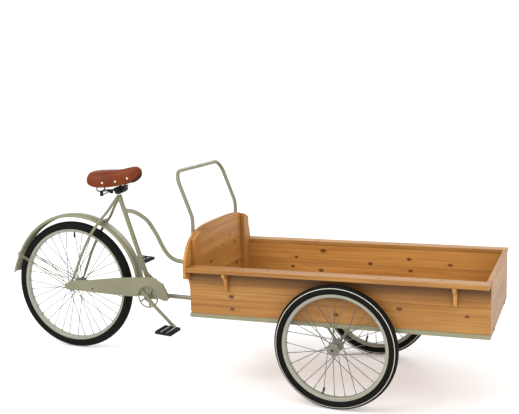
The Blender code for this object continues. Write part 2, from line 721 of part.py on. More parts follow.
def build_shelf_bracket(box, place_x, name, side):
    """An ogee bracket that stands out from the wall under the shelf."""
    wall = BOX_HALF_WIDTH + GAP
    top = SHELF_LOW_Z - GAP
    curve = [(0.0440, 0.0), (0.0440, -0.0090), (0.0360, -0.0190), (0.0240, -0.0280)]
    curve += [(0.0160, -0.0420), (0.0140, -0.0570), (0.0090, -0.0710), (0.0, -0.0800)]
    outline = [(side * (wall + out), top + down) for out, down in curve]
    outline.append((side * wall, top))
    piece(name, extruded(outline, place_x - 0.007, place_x + 0.007, axis="X"), WOOD, box)


def build_base(box):
    """Steel rails under the box: two long ones, one at each end and one over the axle; then the floor."""
    low = BASE_LOW_Z
    high = BASE_LOW_Z + BASE_HEIGHT
    rear = BOX_REAR_X + 0.0057
    board = BOX_FRONT_X - WALL_THICK - GAP
    inner = BOX_HALF_WIDTH - RAIL_WIDTH
    for side_name, side in SIDES:
        rail = sided_block(side, (rear, inner, low), (BOX_FRONT_X, BOX_HALF_WIDTH, high))
        piece("base_rail_" + side_name, rail, SAGE, box)
    cross = inner - GAP
    places = (("rear", rear), ("axle", -RAIL_WIDTH / 2), ("front", board - RAIL_WIDTH))
    for name, x in places:
        bar = block((x, -cross, low), (x + RAIL_WIDTH, cross, high))
        piece("base_crossbar_" + name, bar, SAGE, box)
    deck = high + GAP
    side_y = BOX_HALF_WIDTH - WALL_THICK - GAP
    back = BOX_REAR_X + REAR_BOARD_THICK + GAP
    panel = block((back, -side_y, deck), (board, side_y, deck + FLOOR_THICK))
    panel = piece("floor_panel", panel, WOOD, box)
    notch = WALL_THICK + GAP
    for side_name, side in SIDES:
        low = (back - 0.01, side_y - BATTEN_WIDTH - GAP, deck - 0.01)
        high = (back + notch, side_y + 0.01, deck + FLOOR_THICK + 0.01)
        corner = helper("floor_notch_" + side_name, sided_block(side, low, high), box)
        boolean(panel, corner, "DIFFERENCE")


def build_axle_bracket(box, side_name, side):
    """Two struts from the base rail down to an eye that holds the stub axle."""
    y = side * 0.3120
    eye_y = sorted((side * 0.3070, side * 0.3180))
    eye = turned([(0.0, eye_y[0]), (0.0140, eye_y[0]), (0.0140, eye_y[1]), (0.0, eye_y[1])], 14)
    bracket = piece("axle_bracket_" + side_name, eye, SAGE, box, smooth=True)
    for end in (-1, 1):
        path = [(end * 0.006, y, 0.010), (end * 0.043, y, BASE_LOW_Z - 0.0035)]
        strut = helper(f"axle_strut_{side_name}_{end + 2}", swept(path, 0.0050, 8), box)
        boolean(bracket, strut, "UNION")
    ends = sorted((side * 0.29, side * 0.33))
    bore(bracket, "axle_eye_bore_" + side_name, 0.0058, *ends, box)
    profile = [(0.0, 0.3010), (0.0055, 0.3010), (0.0055, 0.4015), (0.0100, 0.4015), (0.0100, 0.4055)]
    profile.append((0.0, 0.4055))
    stub = turned([(r, side * y_at) for r, y_at in profile], 12)
    piece("front_axle_" + side_name, stub, STEEL, box, smooth=True)


def build_handle(box):
    """A bent tube that stands on the rear board's back, leans to the rider and crosses over."""
    leg_x = BOX_REAR_X - HANDLE_RADIUS - GAP * 2
    half = HANDLE_HALF_WIDTH
    foot = (leg_x, -half, 0.113)
    kink = (leg_x, -half, 0.464)
    corner = (-0.7136, -half, 0.6530)
    corners = [foot, kink, corner] + mirrored([corner, kink, foot], -1)
    path = rounded_path(corners, [0.12, 0.056, 0.056, 0.12], steps=4)
    piece("push_handle", swept(path, HANDLE_RADIUS, 10), SAGE, box, smooth=True)


def build_steering_bracket(steering):
    """The box's half of the steering: a back plate with two lugs, and the pin through the head tube."""
    clearance = 0.004
    lug_height = 0.006
    low = HEAD_LOW_Z - clearance - lug_height
    high = HEAD_HIGH_Z + clearance + lug_height
    pin_radius = HEAD_BORE - 0.0006
    ends = (low - 0.008, high + 0.008)
    pin = turned([(0.0, ends[0]), (pin_radius, ends[0]), (pin_radius, ends[1]), (0.0, ends[1])], 14)
    bracket = piece("steering_bracket", stand_up(pin), SAGE, steering, smooth=True)
    for name, z in (("low", low), ("high", high - lug_height)):
        lug = block((-0.0170, -0.0180, z), (0.0380, 0.0180, z + lug_height))
        boolean(bracket, helper("steering_lug_" + name, lug, steering), "UNION")
    back = block((0.0365, -0.0260, low), (0.0405, 0.0260, high))
    boolean(bracket, helper("steering_back_plate", back, steering), "UNION")


def build_rear_half(frame):
    axle = empty_at("rear_axle_line", (0.0, 0.0, REAR_WHEEL_RADIUS), frame)
    crank_axis = empty_at("crank_line", (BRACKET_X, 0.0, BRACKET_Z), frame)
    steering = empty_at("steering_line", (STEERING_X, 0.0, 0.0), frame)
    lean = -atan2(SEAT_TUBE_LEAN, 1.0)
    seat_line = empty_at("seat_line", (SEAT_TUBE_FOOT_X, 0.0, BRACKET_Z), frame, pitch=lean)
    build_wheel("rear", axle, REAR_WHEEL_RADIUS, 0.0500, 0.0330, 0.0230)
    build_sprocket(axle)
    build_rear_axle(axle)
    build_tubes(frame, steering)
    top = build_seat_tube(seat_line)
    build_bottom_bracket(crank_axis)
    for side_name, side in SIDES:
        build_stays(frame, side_name, side)
        build_guard_stay(frame, side_name, side)
    build_stay_bridge(frame)
    build_mudguard(frame)
    build_chain_case(frame)
    build_chainwheel(crank_axis)
    build_cranks(crank_axis)
    for side_name, side in SIDES:
        pedal_axis = empty_at("pedal_line_" + side_name, pedal_spot(side), crank_axis, pitch=PEDAL_TILT)
        build_pedal(pedal_axis, side_name, side)
    build_seat(seat_line, frame, top)
    return steering


def build_seat(seat_line, frame, top):
    """Everything that slides with the seat post."""
    low = top - 0.150
    high = top + 0.0035
    profile = [(0.0, low), (POST_RADIUS, low), (POST_RADIUS, high), (0.0, high)]
    piece("seat_post", stand_up(turned(profile, 12)), STEEL, seat_line, smooth=True)
    build_seat_clamp(frame)
    build_saddle_rails(frame)
    build_saddle(frame)


def build_box_half(ground, steering):
    box = empty_at("box_frame", (WHEELBASE, 0.0, FRONT_WHEEL_RADIUS), ground, pitch=-BOX_PITCH)
    build_base(box)
    build_rear_boards(box)
    build_front_board(box)
    build_handle(box)
    build_steering_bracket(steering)
    for side_name, side in SIDES:
        build_walls(box, side_name, side)
        build_axle_bracket(box, side_name, side)
        for name, place_x in zip(("rear", "front"), BRACKET_PLACES_X):
            build_shelf_bracket(box, place_x, f"shelf_bracket_{side_name}_{name}", side)
        hub = empty_at("front_wheel_line_" + side_name, (0.0, side * FRONT_TRACK / 2, 0.0), box)
        build_wheel("front_" + side_name, hub, FRONT_WHEEL_RADIUS, 0.0395, 0.0340, 0.0245)


def main():
    clear_scene()
    ground = empty_at("ground_under_rear_axle", (REAR_AXLE_X, 0.0, 0.0))
    steering = build_rear_half(ground)
    build_box_half(ground, steering)


main()
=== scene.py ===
"""Looks of the cargo tricycle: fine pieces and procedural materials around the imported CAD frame."""

import json
from math import atan2, cos, degrees, exp, hypot, pi, radians, sin, sqrt

import bmesh
import bpy
from mathutils import Matrix, Vector


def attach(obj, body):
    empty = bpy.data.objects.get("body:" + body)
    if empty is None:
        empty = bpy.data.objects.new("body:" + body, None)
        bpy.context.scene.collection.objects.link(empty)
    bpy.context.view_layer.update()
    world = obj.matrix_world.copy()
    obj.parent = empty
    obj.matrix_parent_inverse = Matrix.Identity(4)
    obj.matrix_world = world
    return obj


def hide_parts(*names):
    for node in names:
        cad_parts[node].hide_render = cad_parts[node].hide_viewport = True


# ---- the CAD frame, and where things are in it ----
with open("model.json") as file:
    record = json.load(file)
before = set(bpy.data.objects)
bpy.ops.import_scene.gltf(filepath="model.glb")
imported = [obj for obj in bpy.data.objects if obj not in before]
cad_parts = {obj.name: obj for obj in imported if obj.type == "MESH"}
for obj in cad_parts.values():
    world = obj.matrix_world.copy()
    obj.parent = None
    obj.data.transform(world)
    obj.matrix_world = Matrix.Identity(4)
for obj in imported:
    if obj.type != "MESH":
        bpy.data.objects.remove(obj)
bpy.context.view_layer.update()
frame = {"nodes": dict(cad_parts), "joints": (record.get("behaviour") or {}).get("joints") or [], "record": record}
JOINTS = {joint["name"]: joint for joint in frame["joints"]}
MOUNTS = {mount["name"]: mount for mount in frame["record"]["mounts"]}

REAR_AXLE = Vector(JOINTS["rear_wheel_spin"]["pos_m"])
CRANK_CENTRE = Vector(JOINTS["crank_spin"]["pos_m"])
STEERING_X = JOINTS["steering"]["pos_m"][0]
FRONT_AXLES = {
    "right": Vector(JOINTS["front_right_wheel_spin"]["pos_m"]),
    "left": Vector(JOINTS["front_left_wheel_spin"]["pos_m"]),
}
FLOOR_AXIS = MOUNTS["cargo_floor"]["axis"]
BOX_PITCH = atan2(-FLOOR_AXIS[0], FLOOR_AXIS[2])

# Rear pieces are drawn from the ground under the rear axle, box pieces from the front axle's middle.
REAR = Matrix.Translation((REAR_AXLE.x, 0.0, 0.0))
BOX = Matrix.Translation(
    (FRONT_AXLES["right"].x, 0.0, FRONT_AXLES["right"].z)
) @ Matrix.Rotation(-BOX_PITCH, 4, "Y")
SIDES = (("right", -1), ("left", 1))

# ---- shared sizes, in metres ----
REAR_RADIUS = REAR_AXLE.z
FRONT_RADIUS = FRONT_AXLES["right"].z
REAR_SPOKES = 36
FRONT_SPOKES = 28
BRACKET = (CRANK_CENTRE.x - REAR_AXLE.x, CRANK_CENTRE.z)
SEAT_FOOT_X = 0.4032
SEAT_LEAN = 0.366
CRANK_LENGTH = 0.180
CRANK_ANGLE = radians(-42.2)
PEDAL_TILT = radians(3)
GUARD_CENTRE = (0.016, 0.304)
GUARD_RADIUS = 0.336
GUARD_HALF = 0.030
GUARD_DEPTH = 0.0155
CASE_OUT_Y = -0.072
CASE_IN_Y = -0.0605

BOARD_REAR_X = -0.6306
BOARD_THICK = 0.012
BOX_FRONT_X = 0.5783
BOX_HALF = 0.325
WALL_THICK = 0.018
RAIL_LOW_Z = 0.0657
RAIL_HIGH_Z = 0.0835
FLOOR_TOP_Z = 0.0988
SHELF_LOW_Z = 0.2621
SHELF_TOP_Z = 0.2803
SHELF_HALF = 0.372
WALL_SEAM_Z = 0.1829
ARCH_FOOT_Z = 0.2729
ARCH_TOP_Z = 0.4279
ARCH_SEAM_Z = 0.3019
ARCH_FULLNESS = 4.0
EAR_LOW_Z = 0.2330
BATTEN_WIDTH = 0.0597
CROSSBAR_HALF = BOX_HALF - 0.0253
GAP = 0.0003  # left open between neighbouring pieces of the box


# ---- procedural materials ----
class Look:
    """One material; each method adds a node and returns its output socket."""

    def __init__(self, name, roughness=0.5, metallic=0.0, specular=0.5, coat=0.0, sheen=0.0):
        self.material = bpy.data.materials.new(name)
        self.material.use_nodes = True
        self.tree = self.material.node_tree
        self.shader = self.tree.nodes["Principled BSDF"]
        self.shader.inputs["Roughness"].default_value = roughness
        self.shader.inputs["Metallic"].default_value = metallic
        self.shader.inputs["Specular IOR Level"].default_value = specular
        self.shader.inputs["Coat Weight"].default_value = coat
        self.shader.inputs["Coat Roughness"].default_value = 0.25
        self.shader.inputs["Sheen Weight"].default_value = sheen
        where = self.tree.nodes.new("ShaderNodeTexCoord").outputs["Object"]
        split = self.tree.nodes.new("ShaderNodeSeparateXYZ")
        self.tree.links.new(where, split.inputs[0])
        self.where = where
        self.x, self.y, self.z = split.outputs

    def plug(self, value, socket):
        if isinstance(value, bpy.types.NodeSocket):
            self.tree.links.new(value, socket)
        elif socket.type == "RGBA":
            socket.default_value = (*value, 1.0)
        else:
            socket.default_value = value

    def math(self, operation, a, b=0.0, c=0.0):
        node = self.tree.nodes.new("ShaderNodeMath")
        node.operation = operation
        for value, socket in zip((a, b, c), node.inputs):
            self.plug(value, socket)
        return node.outputs[0]

    def add(self, a, b):
        return self.math("ADD", a, b)

    def times(self, a, b):
        return self.math("MULTIPLY", a, b)

    def point(self, x, y, z):
        node = self.tree.nodes.new("ShaderNodeCombineXYZ")
        for value, socket in zip((x, y, z), node.inputs):
            self.plug(value, socket)
        return node.outputs[0]

    def stretched(self, scale):
        return self.point(*(self.times(axis, s) for axis, s in zip((self.x, self.y, self.z), scale)))

    def noise(self, vector, scale=1.0, detail=2.0, rough=0.5):
        node = self.tree.nodes.new("ShaderNodeTexNoise")
        self.plug(vector, node.inputs["Vector"])
        node.inputs["Scale"].default_value = scale
        node.inputs["Detail"].default_value = detail
        node.inputs["Roughness"].default_value = rough
        return node.outputs["Fac"]

    def cells(self, vector, scale):
        node = self.tree.nodes.new("ShaderNodeTexVoronoi")
        node.feature = "DISTANCE_TO_EDGE"
        self.plug(vector, node.inputs["Vector"])
        node.inputs["Scale"].default_value = scale
        return node.outputs["Distance"]

    def span(self, value, low, high, out_low=0.0, out_high=1.0):
        """A smooth step from out_low at low to out_high at high."""
        node = self.tree.nodes.new("ShaderNodeMapRange")
        node.interpolation_type = "SMOOTHSTEP"
        self.plug(value, node.inputs["Value"])
        for name, number in (
            ("From Min", low), ("From Max", high), ("To Min", out_low), ("To Max", out_high)
        ):
            node.inputs[name].default_value = number
        return node.outputs["Result"]

    def mix(self, factor, a, b):
        node = self.tree.nodes.new("ShaderNodeMix")
        node.data_type = "RGBA"
        self.plug(factor, node.inputs[0])
        self.plug(a, node.inputs[6])
        self.plug(b, node.inputs[7])
        return node.outputs[2]

    def distance(self, spot):
        total = None
        for axis, centre in zip((self.x, self.y, self.z), spot):
            step = self.add(axis, -centre)
            square = self.times(step, step)
            total = square if total is None else self.add(total, square)
        return self.math("SQRT", total)

    def colour(self, value):
        self.plug(value, self.shader.inputs["Base Color"])

    def roughness(self, value):
        self.plug(value, self.shader.inputs["Roughness"])

    def bump(self, height, distance, strength=1.0):
        node = self.tree.nodes.new("ShaderNodeBump")
        node.inputs["Strength"].default_value = strength
        node.inputs["Distance"].default_value = distance
        self.plug(height, node.inputs["Height"])
        if self.shader.inputs["Normal"].is_linked:
            self.plug(self.shader.inputs["Normal"].links[0].from_socket, node.inputs["Normal"])
        self.tree.links.new(node.outputs["Normal"], self.shader.inputs["Normal"])


def paint_look(name, colour, worn, spots=(), rough=0.38):
    """Enamel with soft tone changes, fine orange peel, and dark chips at the given spots."""
    look = Look(name, coat=0.12)
    tone = look.span(look.noise(look.where, 5.0, 3.0), 0.3, 0.7)
    darker = tuple(c * 0.86 for c in colour)
    base = look.mix(tone, darker, colour)
    grime = look.span(look.noise(look.where, 34.0, 4.0, 0.65), 0.62, 0.74)
    base = look.mix(look.times(grime, 0.22), base, tuple(c * 0.55 for c in colour))
    flecks = look.span(look.noise(look.where, 160.0, 3.0, 0.7), 0.71, 0.74)
    chips = look.times(flecks, look.span(look.noise(look.where, 9.0), 0.55, 0.62))
    for x, y, z, radius in spots:
        ragged = look.add(
            look.distance((x, y, z)), look.times(look.noise(look.where, 260.0, 2.0), radius * 0.8)
        )
        chips = look.math("MAXIMUM", chips, look.span(ragged, radius * 0.95, radius * 1.15, 1.0, 0.0))
    look.colour(look.mix(chips, base, worn))
    look.roughness(look.span(look.noise(look.where, 22.0, 3.0), 0.25, 0.8, rough - 0.07, rough + 0.12))
    look.bump(look.noise(look.where, 900.0, 2.0), 0.00004, 0.5)
    look.bump(chips, 0.0001, -0.6)
    return look.material


WOOD_LIGHT = (0.480, 0.238, 0.062)
WOOD_MIDDLE = (0.385, 0.172, 0.037)
WOOD_DARK = (0.215, 0.076, 0.012)
KNOT_DARK = (0.060, 0.018, 0.006)


def wood_look(name, along, across, seed, seams=(), knots=(), rings=26.0, shade=1.0, shadow=None):
    """Varnished fir: growth lines run along one axis and bend round the knots.

    Seams are places across the grain where one plank ends and the next begins; each knot is
    (place along, place across, radius). A shadow (from, to) is the stretch across the grain over
    which a painted shadow darkens the wood towards the joint with the board above, standing in for the shade that
    board casts.
    """
    look = Look(name, roughness=0.50, specular=0.28, coat=0.03)
    axes = {"x": look.x, "y": look.y, "z": look.z}
    third = ({"x", "y", "z"} - {along, across}).pop()
    a, b, t = axes[along], axes[across], axes[third]
    plank = look.add(0.0, seed)
    for i, seam in enumerate(seams):
        plank = look.add(plank, look.times(look.math("GREATER_THAN", b, seam), 3.7 + 1.9 * i))
    spread = look.point(look.add(look.times(a, 0.9), plank), look.times(b, 5.0), look.times(t, 5.0))
    wander = look.noise(spread, 1.6, 2.0, 0.45)
    ring = look.add(look.add(look.times(b, rings), look.times(t, rings * 0.5)), look.times(wander, 3.4))
    ring = look.add(ring, plank)
    core = None
    for place_a, place_b, radius in knots:
        step_a = look.times(look.add(a, -place_a), 0.62 / radius)
        step_b = look.times(look.add(b, -place_b), 1.0 / radius)
        square = look.add(look.times(step_a, step_a), look.times(step_b, step_b))
        near = look.math("DIVIDE", 1.0, look.add(1.0, look.times(square, 0.30)))
        ring = look.add(ring, look.times(near, 1.1))
        spot = look.span(
            look.add(square, look.times(look.noise(look.where, 300.0), 0.8)), 0.9, 2.6, 1.0, 0.0
        )
        core = spot if core is None else look.math("MAXIMUM", core, spot)
    wave = look.add(look.times(look.math("SINE", look.times(ring, 2 * pi)), 0.5), 0.5)
    late = look.math("POWER", wave, 2.2)
    streak = look.noise(
        look.point(look.add(look.times(a, 1.5), plank), look.times(b, 90.0), look.times(t, 90.0)), 1.0, 3.0,
        0.6
    )
    fibre = look.noise(
        look.point(look.add(look.times(a, 9.0), plank), look.times(b, 420.0), look.times(t, 420.0)), 1.0,
        3.0, 0.7
    )
    patch = look.noise(
        look.point(look.add(look.times(a, 2.2), plank), look.times(b, 11.0), look.times(t, 11.0)), 1.0, 2.0
    )
    light = tuple(c * shade for c in WOOD_LIGHT)
    middle = tuple(c * shade for c in WOOD_MIDDLE)
    dark = tuple(c * shade for c in WOOD_DARK)
    base = look.mix(look.span(patch, 0.32, 0.68), middle, light)
    base = look.mix(look.times(late, look.span(wander, 0.3, 0.7, 0.06, 0.26)), base, dark)
    base = look.mix(look.span(streak, 0.42, 0.72, 0.0, 0.55), base, dark)
    base = look.mix(look.span(fibre, 0.42, 0.78, 0.0, 0.30), base, dark)
    whole = look.math("FRACT", look.times(plank, 0.37))
    base = look.mix(look.times(whole, 0.20), base, dark)
    # Painted shadow: the wood darkens across the grain up to the shelf's underside, where the shelf casts its
    # shade.
    if shadow:
        base = look.mix(look.span(b, *shadow, 0.0, 0.88), base, tuple(c * 0.40 for c in dark))
    if core is not None:
        base = look.mix(look.times(core, 0.84), base, KNOT_DARK)
    look.colour(base)
    look.roughness(look.span(fibre, 0.3, 0.8, 0.40, 0.58))
    look.bump(fibre, 0.00022, 0.7)
    look.bump(late, 0.00020, 0.5)
    return look.material


def tyre_look(name, radius, stripe):
    """Rubber with a cut tread over the crown, fine moulding lines on the sides and a thin white band."""
    look = Look(name, roughness=0.75, specular=0.06)
    square = look.add(look.times(look.x, look.x), look.times(look.z, look.z))
    out = look.math("SQRT", square)
    turn = look.math("ARCTAN2", look.x, look.z)
    dust = look.span(look.noise(look.where, 14.0, 4.0, 0.6), 0.35, 0.75)
    base = look.mix(look.times(dust, 0.5), (0.0055, 0.0053, 0.0045), (0.0120, 0.0115, 0.0095))
    crown = look.span(out, radius - 0.0075, radius - 0.0045)
    base = look.mix(look.times(crown, 0.55), base, (0.011, 0.011, 0.010))
    if stripe:
        inner = look.math("GREATER_THAN", out, radius - 0.0126)
        outer = look.math("LESS_THAN", out, radius - 0.0102)
        band = look.times(inner, outer)
        base = look.mix(look.times(band, 0.9), base, (0.62, 0.60, 0.52))
    look.colour(base)
    slant = look.add(look.times(turn, 190.0), look.times(look.math("ABSOLUTE", look.y), 520.0))
    blocks = look.times(look.span(look.math("SINE", slant), -0.35, 0.15), crown)
    look.bump(blocks, 0.0009, 0.9)
    lines = look.math("SINE", look.times(out, 2600.0))
    look.bump(look.times(lines, look.math("SUBTRACT", 1.0, crown)), 0.00008, 0.6)
    look.roughness(look.span(dust, 0.0, 1.0, 0.50, 0.72))
    return look.material


def metal_look(name, colour, rough=0.32, metallic=0.9):
    """Plated steel with faint cloudy patches."""
    look = Look(name, metallic=metallic)
    cloud = look.noise(look.where, 40.0, 4.0, 0.65)
    look.colour(look.mix(look.span(cloud, 0.35, 0.7), tuple(c * 0.72 for c in colour), colour))
    look.roughness(look.span(cloud, 0.3, 0.75, rough - 0.06, rough + 0.14))
    look.bump(look.noise(look.where, 700.0, 2.0), 0.00003, 0.4)
    return look.material


def black_look(name, rough=0.45, colour=(0.012, 0.012, 0.012)):
    """Black enamel or moulded rubber with a slight dusting."""
    look = Look(name, specular=0.10)
    dust = look.noise(look.where, 60.0, 4.0, 0.6)
    look.colour(look.mix(look.span(dust, 0.45, 0.8), colour, tuple(c * 2.2 for c in colour)))
    look.roughness(look.span(dust, 0.3, 0.8, rough - 0.08, rough + 0.15))
    look.bump(look.noise(look.where, 1500.0, 2.0), 0.00005, 0.5)
    return look.material


def leather_look(name):
    """Tanned saddle leather: pebbled grain with darker hollows between the pebbles, and paler rubbed streaks."""
    look = Look(name, roughness=0.50, specular=0.14, coat=0.02)
    cloud = look.noise(look.where, 18.0, 4.0, 0.6)
    base = look.mix(look.span(cloud, 0.3, 0.7), (0.125, 0.021, 0.004), (0.185, 0.036, 0.007))
    scuff = look.span(look.noise(look.stretched((30.0, 90.0, 90.0)), 1.0, 5.0, 0.7), 0.60, 0.74)
    base = look.mix(look.times(scuff, 0.28), base, (0.300, 0.085, 0.026))
    pore = look.cells(look.where, 620.0)
    base = look.mix(look.span(pore, 0.0, 0.16, 0.45, 0.0), base, (0.10, 0.020, 0.005))
    look.colour(base)
    look.roughness(look.span(cloud, 0.3, 0.75, 0.34, 0.52))
    look.bump(look.span(pore, 0.0, 0.30), 0.00012, 0.6)
    look.bump(look.noise(look.where, 55.0, 3.0), 0.0006, 0.35)
    return look.material


SAGE_COLOUR = (0.202, 0.194, 0.113)
CHIP_COLOUR = (0.060, 0.055, 0.045)
FRAME_CHIPS = (
    (0.3970, -0.008, 0.6100, 0.0060),
    (0.4070, -0.008, 0.5970, 0.0055),
    (0.3170, -0.010, 0.5400, 0.0045),
    (0.3230, -0.010, 0.5240, 0.0040),
    (0.0600, -0.054, 0.4354, 0.0050),
    (0.4560, -0.072, 0.3300, 0.0022),
    (0.1354, -0.072, 0.3062, 0.0030),
    (0.2657, -0.072, 0.3184, 0.0020),
)
SAGE = paint_look("sage_enamel", SAGE_COLOUR, CHIP_COLOUR, FRAME_CHIPS)
RIM_PAINT = paint_look("rim_enamel", (0.290, 0.285, 0.225), (0.13, 0.12, 0.10), rough=0.34)
RAIL_PAINT = paint_look("rail_enamel", (0.235, 0.222, 0.125), CHIP_COLOUR)
# A darker copy of the sage enamel, used as painted shade on parts that sit in shadow.
SHADED_SAGE = paint_look("shaded_enamel", (0.150, 0.138, 0.078), CHIP_COLOUR)
SPOKE_METAL = metal_look("galvanised_wire", (0.13, 0.13, 0.12), 0.45, 0.4)
HUB_METAL = metal_look("galvanised_hub", (0.25, 0.25, 0.20), 0.42, 0.5)
BRIGHT_METAL = metal_look("bright_plating", (0.72, 0.71, 0.68), 0.22, 0.95)
RIVET_METAL = metal_look("rivet_plating", (0.86, 0.82, 0.72), 0.20, 0.85)
BLACK_METAL = black_look("black_enamel", 0.38)
BLACK_RUBBER = black_look("moulded_rubber", 0.62, (0.006, 0.006, 0.006))
LEATHER = leather_look("saddle_leather")


# ---- shapes ----
def smooth_path(knots, steps):
    """Points on a Catmull-Rom curve through the knots."""
    knots = [Vector(k) for k in knots]
    ends = [2 * knots[0] - knots[1]] + knots + [2 * knots[-1] - knots[-2]]
    path = []
    for i in range(1, len(ends) - 2):
        a, b, c, d = ends[i - 1 : i + 3]
        for step in range(steps):
            t = step / steps
            straight = 2 * b + (c - a) * t
            bend = (2 * a - 5 * b + 4 * c - d) * t**2 + (3 * b - a - 3 * c + d) * t**3
            path.append((straight + bend) / 2)
    return path + [knots[-1]]


def rounded_path(corners, radii, steps=10):
    """Straight runs with an arc of the given radius at each inner corner."""
    corners = [Vector(c) for c in corners]
    path = [corners[0]]
    for before, corner, after, radius in zip(corners, corners[1:], corners[2:], radii):
        towards = (before - corner).normalized()
        away = (after - corner).normalized()
        half = towards.angle(away) / 2
        reach = radius * cos(half) / sin(half)
        centre = corner + (towards + away).normalized() * radius / sin(half)
        start = corner + towards * reach - centre
        finish = corner + away * reach - centre
        for step in range(steps + 1):
            path.append(centre + start.slerp(finish, step / steps) * radius)
    return path + [corners[-1]]


def add_sweep(bm, path, radius, sides=20):
    """A round bar along a path; the radius is one number, or a list with one for each point."""
    points = [Vector(p) for p in path]
    tangents = []
    for i in range(len(points)):
        before = points[max(i - 1, 0)]
        after = points[min(i + 1, len(points) - 1)]
        tangents.append((after - before).normalized())
    side = tangents[0].orthogonal().normalized()
    rings = []
    for i, (point, tangent) in enumerate(zip(points, tangents)):
        side = (side - tangent * side.dot(tangent)).normalized()
        up = tangent.cross(side)
        size = radius[i] if isinstance(radius, (list, tuple)) else radius
        turns = [2 * pi * k / sides for k in range(sides)]
        rings.append([bm.verts.new(point + size * (cos(t) * side + sin(t) * up)) for t in turns])
    skin(bm, rings)
    bm.faces.new(rings[0][::-1])
    bm.faces.new(rings[-1])


def skin(bm, rings, closed=False, wrap=True):
    """Join each ring of vertices to the next."""
    pairs = list(zip(rings, rings[1:]))
    if closed:
        pairs.append((rings[-1], rings[0]))
    for first, second in pairs:
        count = len(first)
        for i in range(count if wrap else count - 1):
            j = (i + 1) % count
            corners = list(dict.fromkeys((first[i], first[j], second[j], second[i])))
            if len(corners) > 2:
                bm.faces.new(corners)


def add_turned(bm, profile, sides=48, place=None):
    """Turn (radius, y) points about the Y axis, then move the result by a matrix."""
    place = place or Matrix.Identity(4)
    rings = []
    for radius, y in profile:
        if radius == 0.0:
            rings.append([bm.verts.new(place @ Vector((0.0, y, 0.0)))] * sides)
            continue
        turns = [2 * pi * k / sides for k in range(sides)]
        rings.append([bm.verts.new(place @ Vector((radius * cos(t), y, radius * sin(t)))) for t in turns])
    skin(bm, rings, closed=profile[0][0] != 0.0)


def add_block(bm, low, high):
    """A box between two opposite corners."""
    corners = []
    for z in (low[2], high[2]):
        for x, y in ((low[0], low[1]), (high[0], low[1]), (high[0], high[1]), (low[0], high[1])):
            corners.append(bm.verts.new((x, y, z)))
    bm.faces.new(corners[3::-1])
    bm.faces.new(corners[4:])
    for i in range(4):
        j = (i + 1) % 4
        bm.faces.new((corners[i], corners[j], corners[4 + j], corners[4 + i]))


def add_plate(bm, outline, low, high, axis="Y"):
    """Extrude an outline: (x, z) points along Y, or (y, z) points along X."""
    layers = []
    for depth in (low, high):
        if axis == "Y":
            layers.append([bm.verts.new((a, depth, b)) for a, b in outline])
        else:
            layers.append([bm.verts.new((depth, a, b)) for a, b in outline])
    bm.faces.new(layers[0])
    bm.faces.new(layers[1][::-1])
    skin(bm, layers)


def add_dome(bm, place, radius, height, sides=20):
    """A domed head standing on the plane Y = 0 of its matrix, towards -Y."""
    steps = 5
    profile = [(0.0, 0.0), (radius, 0.0)]
    for i in range(1, steps):
        turn = pi / 2 * i / steps
        profile.append((radius * cos(turn), -height * sin(turn)))
    profile.append((0.0, -height))
    add_turned(bm, profile, sides, place)


def add_hexagon(bm, place, radius, low, high):
    """A nut: a six-sided block with chamfered corners, between two Y planes of its matrix."""
    rings = []
    chamfer = radius * 0.12
    for y, size in (
        (low, radius - chamfer), (low + chamfer, radius), (high - chamfer, radius), (high, radius - chamfer)
    ):
        turns = [pi / 3 * k for k in range(6)]
        rings.append([bm.verts.new(place @ Vector((size * cos(t), y, size * sin(t)))) for t in turns])
    skin(bm, rings)
    bm.faces.new(rings[0][::-1])
    bm.faces.new(rings[-1])


def mirrored(points, side):
    return [(x, side * y, z) for x, y, z in points]


def piece(name, bm, look, body, place=REAR, stands_for=(), bevel=0.0, segments=2, angle=35, levels=0):
    """Make an object of the mesh, put it in the CAD frame and let it ride on its body."""
    bmesh.ops.remove_doubles(bm, verts=bm.verts, dist=1e-7)
    bmesh.ops.recalc_face_normals(bm, faces=bm.faces)
    mesh = bpy.data.meshes.new(name)
    bm.to_mesh(mesh)
    bm.free()
    mesh.shade_smooth()
    mesh.set_sharp_from_angle(angle=radians(angle))
    mesh.materials.append(look)
    obj = bpy.data.objects.new(name, mesh)
    bpy.context.collection.objects.link(obj)
    obj.matrix_world = place
    if bevel:
        rounding = obj.modifiers.new("rounding", "BEVEL")
        rounding.width = bevel
        rounding.segments = segments
        rounding.limit_method = "ANGLE"
        rounding.angle_limit = radians(30)
        rounding.harden_normals = False
    if levels:
        smoothing = obj.modifiers.new("smoothing", "SUBSURF")
        smoothing.levels = levels
        smoothing.render_levels = levels
    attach(obj, body)
    if stands_for:
        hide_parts(*stands_for)
    return obj


def at(x, y, z, turn=0.0, axis="Z"):
    """A matrix for a small part: its own -Y axis points out of the surface it sits on."""
    return Matrix.Translation((x, y, z)) @ Matrix.Rotation(radians(turn), 4, axis)


# ---- wheels ----
def tyre_profile(radius):
    """A round carcass with a flat-topped, grooved tread, and beads tucked into the rim."""
    half = []
    steps = 22
    for i in range(steps + 1):
        turn = radians(-52 + 142 * i / steps)
        y = 0.0200 * cos(turn)
        r = -0.0185 + (0.0185 if turn > 0 else 0.0215) * sin(turn)
        groove = 0.0
        for place in (0.0042, 0.0098):
            groove = max(groove, exp(-(((y - place) / 0.0009) ** 2)))
        half.append((radius + r - 0.0011 * groove * (y < 0.0125), y))
    bead = [(radius - 0.0400, 0.0104)]
    outer = [(r, -y) for r, y in bead + half] + [(r, y) for r, y in (bead + half[:-1])[::-1]]
    inner = [
        (radius - 0.0240, 0.0150), (radius - 0.0080, 0.0090), (radius - 0.0080, -0.0090),
        (radius - 0.0240, -0.0150)
    ]
    return outer + inner


